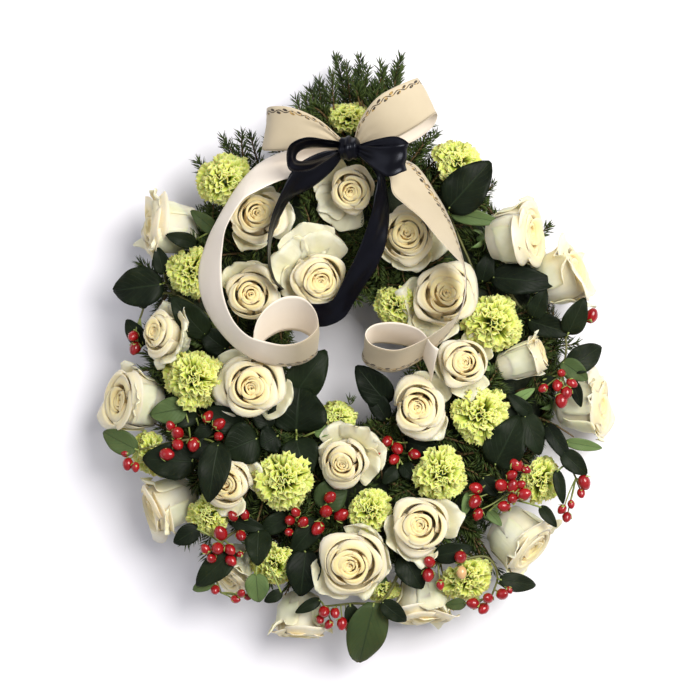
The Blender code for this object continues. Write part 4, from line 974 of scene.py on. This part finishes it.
# Seven side veins to a leaf, which slant toward its tip.
slant = calc(tree, "SUBTRACT", along_leaf, calc(tree, "MULTIPLY", sideways, 0.9))
slant = calc(tree, "FRACT", calc(tree, "MULTIPLY", slant, 7.0))
slant = calc(tree, "ABSOLUTE", calc(tree, "SUBTRACT", slant, 0.5))
side_veins = calc(tree, "SUBTRACT", 1.0, ramp(tree, slant, 0.02, 0.09))
net = calc(tree, "MAXIMUM", midrib, calc(tree, "MULTIPLY", side_veins, 0.38))
cloud = speckle(tree, 60, 4, 0.6)
dark = dappled(tree, cloud, 0.3, 0.7, (0.0022, 0.0042, 0.0024), (0.0075, 0.0125, 0.0060))
blade_colour = mixed(tree, held(tree, "tone"), dark, (0.16, 0.25, 0.085))
paint(tree, shader, mixed(tree, calc(tree, "MULTIPLY", net, 0.55), blade_colour, (0.020, 0.032, 0.016)))
relief = calc(tree, "ADD", calc(tree, "MULTIPLY", net, -1.0), calc(tree, "MULTIPLY", cloud, 0.5))
bump(tree, shader, relief, 0.0008, 0.5)

fruit, tree, shader = material("berry_skin", (0.42, 0.008, 0.012), 0.22, Coat_Weight=0.25,
                               Coat_Roughness=0.06, Subsurface_Weight=0.05)
ripe_red = dappled(tree, speckle(tree, 70, 2), 0.3, 0.75, (0.20, 0.002, 0.005), (0.36, 0.007, 0.010))
paint(tree, shader, mixed(tree, held(tree, "unripe"), ripe_red, (0.62, 0.38, 0.17)))

sprout, tree, shader = material("sepal_and_stalk", (0.25, 0.38, 0.09), 0.5)
fresh = dappled(tree, speckle(tree, 160, 3), 0.3, 0.7, (0.20, 0.32, 0.05), (0.42, 0.50, 0.14))
paint(tree, shader, mixed(tree, held(tree, "red"), fresh, (0.06, 0.03, 0.014)))

# The one berry that is still pale, by its place.
UNRIPE = (107, -213)
BLADE_THICK, CUP_THICK = 0.55, 0.45

for number, (name, parts) in enumerate(BRANCHES.items()):
    rng = np.random.default_rng(50 + number)
    # A stem's places over 64 mm are lowered by 6 mm, so that they stay below the leaves.
    stems = [smooth_path([(x, y, z - (6 if z > 64 else 0)) for x, y, z in stem]) for stem in parts["stems"]]
    spots = np.concatenate([stem[4:] for stem in stems])
    green_parts = [(*tubes(stem[None], np.linspace(1.8, 1.0, len(stem))[None], 8), {"red": 0.75})
                   for stem in stems]
    leaf_parts = []
    for i, (*ends, width) in enumerate(parts["leaves"]):
        base, tip = np.array(ends[:3], float), np.array(ends[3:], float)
        grid, us, ss = leaf_grid(base, tip, width, rng)
        points, faces = sheets(grid[None], BLADE_THICK)
        pale = PALE.get(name, {}).get(i, rng.uniform(0, 0.035))
        leaf_parts.append((points, faces, {"tone": pale, "uv": skin_uv(us[None], ss[None])}))
        joint = spots[np.argmin(np.linalg.norm(spots - base, axis=1))]
        stalk = smooth_path([joint, (joint * 0.4 + base * 0.6) + (0, 0, 1.0), base + (tip - base) * 0.06], 4)
        green_parts.append((*tubes(stalk[None], 1.0, 6), {"red": 0.35}))
    fruit_parts = []
    for bx, by, bz, size in parts["berries"]:
        middle = np.array((bx, by, bz), float)
        joint = spots[np.argmin(np.linalg.norm(spots - middle + (0, 0, 4), axis=1))]
        axis = unit(unit((middle - joint) * (1, 1, 0.4)) + rng.normal(0, 0.35, 3) + (0, 0, 0.15))
        fruit_parts.append((*berry(middle, axis, size * 1.12), {"unripe": float((bx, by) == UNRIPE)}))
        stalk = smooth_path([joint, (joint + middle) / 2 - (0, 0, 2.0), middle - axis * size * 0.95], 5)
        green_parts.append((*tubes(stalk[None], np.linspace(0.9, 0.75, len(stalk))[None], 6), {"red": 0.5}))
        hold = blades(0.15 * size, -0.98 * size, [1.45 * size] * 5, [0.95 * size] * 5,
                      np.arange(5) * 72 + rng.uniform(0, 72), rng.uniform(58, 92, 5), -30)
        hold, faces = sheets(hold, CUP_THICK)
        green_parts.append((stood(hold.reshape(-1, 3), middle, axis), faces, {"red": 0.0}))
    for label, skin, group in (("leaves", foliage, leaf_parts), ("berries", fruit, fruit_parts),
                               ("stalks", sprout, green_parts)):
        points, faces, layers = joined(group)
        piece(f"{name}_{label}", points, faces, skin, [name], **layers)


# Cream ribbon. A matte cloth ribbon 50 mm wide with a thin vine printed along one edge and a
# line along the other. Two loops and two tails are tied in a knot at the top of the wreath.

# Stations along each strip: a point on one edge, then the point across from it on the other.
CREAM = (
    # the left loop
    ((-10, 204, 128, -10, 214, 134), (-30, 207, 138, -34, 234, 148), (-55, 205, 142, -60, 245, 158),
     (-80, 204, 138, -80, 247, 152), (-91, 206, 126, -86, 245, 136), (-84, 208, 116, -78, 243, 122),
     (-60, 208, 112, -56, 238, 118), (-35, 208, 118, -33, 228, 124), (-10, 205, 124, -10, 212, 130)),
    # the right loop
    ((0, 204, 128, 0, 214, 134), (18, 212, 140, 6, 234, 150), (40, 216, 146, 22, 254, 164),
     (64, 229, 148, 44, 267, 162), (81, 241, 138, 62, 275, 148), (78, 229, 120, 58, 270, 132),
     (56, 214, 110, 34, 258, 122), (28, 207, 114, 16, 236, 124), (0, 203, 124, 0, 212, 130)),
    # the left tail, ending in a curl that stands on its edge
    ((-8, 211, 128, -10, 205, 126), (-34, 211, 118, -32, 193, 132), (-64, 207, 106, -54, 180, 142),
     (-84, 200, 106, -74, 174, 146), (-101, 188, 110, -95, 164, 152), (-118, 168, 110, -110, 154, 156),
     (-138, 134, 110, -125, 129, 157), (-147, 114, 111, -129, 108, 157), (-154, 88, 114, -130, 88, 158),
     (-152, 62, 114, -128, 62, 158), (-141, 37, 115, -119, 38, 158), (-120, 12, 117, -104, 22, 160),
     (-98, -2, 118, -86, 16, 160), (-76, -8, 118, -68, 13, 160), (-52, -6, 118, -50, 17, 160),
     (-37, 4, 118, -36, 30, 160), (-39, 16, 118, -38, 46, 160), (-52, 26, 118, -50, 59, 160),
     (-70, 27, 118, -68, 60, 160), (-85, 20, 118, -84, 51, 160), (-95, 10, 118, -94, 38, 160),
     (-99, 1, 118, -98, 26, 159)),
    # the right tail, which turns on edge and ends in a standing curl
    ((2, 211, 128, 4, 205, 126), (26, 205, 120, 18, 195, 132), (56, 195, 106, 34, 180, 147),
     (68, 184, 114, 38, 162, 152), (80, 165, 120, 50, 150, 158), (89, 150, 122, 66, 136, 165),
     (98, 130, 126, 84, 114, 171), (105, 108, 131, 97, 100, 178), (109, 91, 136, 106, 89, 184),
     (111, 74, 139, 108, 74, 187), (109, 58, 139, 107, 58, 187), (104, 43, 136, 103, 45, 184),
     (92, 22, 124, 92, 34, 170), (66, -2, 114, 68, 18, 160), (38, -14, 112, 42, 8, 158),
     (14, -8, 112, 18, 13, 158), (8, 4, 112, 11, 24, 158), (18, 14, 112, 20, 33, 158),
     (40, 14, 112, 42, 35, 158), (62, 8, 112, 64, 28, 158), (73, -10, 112, 76, 14, 157),
     (77, -24, 111, 83, 9, 152)),
)


def ribbon_grid(stations, gather, crease, seed):
    """A band between two smooth edges. It bows a little across its width, and where it is
    drawn narrower than the gather it falls into pleats, as a cosine across it. Sines of the
    length crumple it. Returns the grid, the share of the width and the length along it."""
    rng = np.random.default_rng(seed)
    path = smooth_path(stations, 7)
    a, b = path[:, :3], path[:, 3:]
    w = np.linspace(0, 1, 13)[None, :]
    grid = a[:, None] * (1 - w[..., None]) + b[:, None] * w[..., None]
    middle = (a + b) / 2
    face = unit(np.cross(np.gradient(middle, axis=0), b - a))[:, None]
    width = np.linalg.norm(b - a, axis=1)[:, None]
    drawn = np.clip(1 - width / gather, 0, 1)
    length = np.concatenate([[0], np.cumsum(np.linalg.norm(np.diff(middle, axis=0), axis=1))])[:, None]
    end = np.minimum(length, length[-1] - length)
    pleats = 2.6 * drawn * np.cos(2 * np.pi * 3 * w + 0.6) * np.clip(end / 8, 0, 1)
    crumple = 0.55 * np.sin(length / 13 + 4 * w + rng.uniform(0, 6)) * np.sin(np.pi * w)
    crumple = crumple + crease * np.sin(11 * w + length / 24) * np.sin(length / 17 + seed)
    lift = pleats + crumple * np.clip(end / 20, 0, 1) + 0.9 * np.sin(np.pi * w)
    return grid + face * lift[..., None], w + 0 * length, length + 0 * w


def bow(name, strips, printed, thickness, gather, crease, finish, cad_node):
    """The loops and tails of one ribbon, as one sheet. Returns the piece, the area of its
    middle surface summed over the grid's cells, and the strips' lengths summed.

    Each strip's entry in printed says which edge the vine runs along, and where each skin is the
    ribbon's printed front: the first skin past the share upper of the length, and the second one
    before the share under. The rest gets the pale colour, which the print never reaches: partly the
    ribbon's paler back and partly painted light."""
    parts, area, reach = [], 0.0, 0.0
    for i, (stations, (edge, upper, under)) in enumerate(zip(strips, printed)):
        grid, w, length = ribbon_grid(stations, gather, crease, i)
        points, faces = sheets(grid[None], thickness)
        share = w if edge == "a" else 1 - w
        far = length / length[-1, 0]
        show = np.stack([far > upper, far < under]).astype(float)
        front = np.clip(0.5 + np.stack([far - upper, under - far]) / 0.08, 0, 1)
        layers = {"uv": skin_uv(share[None], length[None] / 1000), "print": show, "pale": 1 - front}
        parts.append((points, faces, layers))
        cells = np.cross(grid[1:, :-1] - grid[:-1, :-1], grid[:-1, 1:] - grid[:-1, :-1])
        area += np.linalg.norm(cells, axis=-1).sum()
        reach += length[-1, 0]
    points, faces, layers = joined(parts)
    return piece(name, points, faces, finish, [cad_node], **layers), area / 1e6, reach / 1000


def knot(name, middle, radius, half, finish, cad_node, folds):
    """The wrapped knot: a barrel along x, closed at both ends, whose girth swells in its middle
    and follows cosines of the way round and of the place along, for its soft folds."""
    stations, sides = 19, 40
    x = np.linspace(-1, 1, stations)[:, None]
    a = np.linspace(0, 2 * np.pi, sides, endpoint=False)
    folding = 1 + 0.06 * np.cos(folds * a + 2.5 * x) + 0.09 * np.cos(9 * x + 1.5 * np.sin(a))
    girth = radius * (1 - 0.42 * np.abs(x) ** 3) * folding
    body = np.stack([half * x + 0 * girth, girth * np.cos(a), girth * np.sin(a)], -1) + middle
    uv = np.stack([0.5 + 0.3 * x + 0 * a, a[None] * radius / 1000 + 0 * x], -1)
    layers = {"uv": uv, "pale": 0 * girth, "print": 0 * girth}
    return piece(name, body, barrel(stations, sides), finish, [cad_node], **layers)


cloth, tree, shader = material("cream_cloth", (0.85, 0.77, 0.60), 0.62, Sheen_Weight=0.2, Sheen_Roughness=0.5)
# The print is drawn in steps of 1.35 mm: 37 across the ribbon and 740 to a metre along it.
STEPS_ACROSS, STEPS_TO_METRE = 37.0, 740.0
across_band, along_band = own_uv(tree)
across_steps = calc(tree, "MULTIPLY", across_band, STEPS_ACROSS)
along_steps = calc(tree, "MULTIPLY", along_band, STEPS_TO_METRE)
# The vine: a stalk that swings round its line as a sine, with a slanted oval leaf to each half
# swing, on its two sides by turns. Along the other edge runs a thin line, the hem line.
VINE_LINE, LEAF_EVERY, LEAF_OUT, HEM_LINE = 4.2, 5.5, -1.2, 35.9
swing = calc(tree, "SINE", calc(tree, "MULTIPLY", along_steps, math.pi / LEAF_EVERY))
stalk_line = calc(tree, "SUBTRACT", across_steps, calc(tree, "ADD", VINE_LINE, swing))
stalk_line = calc(tree, "LESS_THAN", calc(tree, "ABSOLUTE", stalk_line), 0.45)
step = calc(tree, "FRACT", calc(tree, "DIVIDE", along_steps, LEAF_EVERY))
step = calc(tree, "MULTIPLY", calc(tree, "SUBTRACT", step, 0.5), LEAF_EVERY)
out_by = calc(tree, "MULTIPLY", calc(tree, "SIGN", swing), LEAF_OUT)
leaf_y = calc(tree, "SUBTRACT", across_steps, calc(tree, "ADD", VINE_LINE, out_by))
leaf_x = calc(tree, "ADD", step, calc(tree, "MULTIPLY", leaf_y, 0.7))
leaf_shape = calc(tree, "ADD", calc(tree, "POWER", calc(tree, "DIVIDE", leaf_x, 1.75), 2.0),
                  calc(tree, "POWER", calc(tree, "DIVIDE", leaf_y, 1.15), 2.0))
leaf_shape = calc(tree, "LESS_THAN", leaf_shape, 1.0)
hem_line = calc(tree, "ABSOLUTE", calc(tree, "SUBTRACT", across_steps, HEM_LINE))
hem_line = calc(tree, "MULTIPLY", calc(tree, "LESS_THAN", hem_line, 0.22), 0.6)
drawing = calc(tree, "MAXIMUM", calc(tree, "MAXIMUM", stalk_line, leaf_shape), hem_line)
drawing = calc(tree, "MULTIPLY", held(tree, "print"), drawing)
weave = calc(tree, "ADD", calc(tree, "SINE", calc(tree, "MULTIPLY", along_steps, 9.0)),
             calc(tree, "SINE", calc(tree, "MULTIPLY", across_steps, 9.0)))
cloud = speckle(tree, 25, 4, 0.6)
# The pale colour is partly the ribbon's paler back and partly painted light: it is kept far lighter than the
# front so that the skins facing away from the lamp, on the left loop and tail, look lit.
front = dappled(tree, cloud, 0.3, 0.7, (0.50, 0.42, 0.285), (0.54, 0.46, 0.32))
back = dappled(tree, cloud, 0.3, 0.7, (0.90, 0.81, 0.69), (0.93, 0.85, 0.73))
ground = mixed(tree, held(tree, "pale"), front, back)
ink = dappled(tree, speckle(tree, 260, 2), 0.50, 0.62, (0.026, 0.014, 0.008), (0.42, 0.26, 0.06))
paint(tree, shader, mixed(tree, drawing, ground, ink))
bump(tree, shader, weave, 0.0002, 0.25)

# The printed front is the second skin of the left loop and the right tail, and the first skin of
# the right loop. The left tail has it on the second skin near the knot and on the first skin past
# its bend; between, both its skins take the pale colour, which there is painted light alone,
# lightening the tail where it faces away from the lamp.
CREAM_PRINTED = (("b", 2, 2), ("b", -1, -1), ("a", 0.70, 0.12), ("a", 2, 2))
cream, area, reach = bow("cream_bow", CREAM, CREAM_PRINTED, thickness=0.5, gather=42, crease=0.0,
                         finish=cloth, cad_node="cream_ribbon")
cream_knot = knot("cream_knot", np.array((-5, 208, 131.5)), radius=8.6, half=11, finish=cloth,
                  cad_node="cream_ribbon", folds=5)


# Black ribbon. A narrower glossy satin ribbon, 25 mm wide, tied over the cream one. Its loops
# stand on the cream loops and its tails run down between the roses.

BLACK = (
    # the left loop
    ((-12, 206, 146, -12, 211, 158), (-24, 206, 156, -26, 213, 173), (-43, 206, 159, -46, 215, 176),
     (-54, 202, 158, -62, 208, 176), (-57, 196, 158, -66, 195, 176), (-53, 193, 158, -62, 182, 175),
     (-40, 194, 156, -44, 182, 174), (-26, 199, 153, -28, 192, 169), (-12, 203, 145, -12, 205, 156)),
    # the right loop
    ((2, 203, 146, 2, 209, 152), (17, 200, 154, 20, 214, 158), (33, 194, 156, 38, 217, 162),
     (45, 187, 159, 48, 214, 165), (51, 184, 165, 53, 209, 171), (46, 181, 172, 48, 208, 177),
     (33, 177, 173, 36, 207, 177), (17, 187, 166, 19, 206, 171), (2, 200, 156, 2, 208, 158)),
    # the left tail
    ((-12, 205, 147, -10, 200, 145), (-33, 202, 150, -22, 184, 140), (-57, 188, 152, -43, 167, 136),
     (-70, 165, 153, -62, 157, 132), (-78, 146, 153, -72, 142, 130), (-83, 126, 153, -80, 124, 129),
     (-85, 107, 151, -83, 106, 127), (-84, 90, 147, -83, 90, 123), (-79, 76, 141, -78, 77, 117),
     (-71, 67, 135, -69, 68, 111)),
    # the right tail, with its end folded aside
    ((0, 200, 145, 4, 205, 147), (15, 189, 150, 25, 193, 149), (23, 176, 151, 31, 172, 139),
     (20, 158, 151, 34, 154, 131), (17, 142, 149, 34, 133, 131), (9, 118, 139, 31, 111, 131),
     (0, 97, 132, 22, 89, 124), (-10, 78, 127, 11, 73, 118), (-18, 62, 122, 0, 55, 114),
     (-25, 56, 118, -10, 40, 111), (-34, 54, 114, -26, 32, 107), (-44, 54, 111, -42, 31, 104)),
)

satin, tree, shader = material("black_satin", (0.004, 0.004, 0.007), 0.29, Specular_IOR_Level=0.23,
                               Specular_Tint=(0.8, 0.85, 1.0, 1))
threads = calc(tree, "SINE", calc(tree, "MULTIPLY", own_uv(tree)[0], 330.0))
cloud = speckle(tree, 40, 4, 0.6)
paint(tree, shader, dappled(tree, cloud, 0.3, 0.7, (0.001, 0.001, 0.002), (0.003, 0.003, 0.006)))
bump(tree, shader, calc(tree, "ADD", calc(tree, "MULTIPLY", threads, 0.04), cloud), 0.0006, 0.3)

# The satin has no print on either skin.
BLACK_PRINTED = (("a", 2, 0),) * 4
black, area, reach = bow("black_bow", BLACK, BLACK_PRINTED, thickness=0.4, gather=20, crease=0.7,
                         finish=satin, cad_node="black_ribbon")
black_knot = knot("black_knot", np.array((-5, 206, 150.2)), radius=11.2, half=11, finish=satin,
                  cad_node="black_ribbon", folds=4)
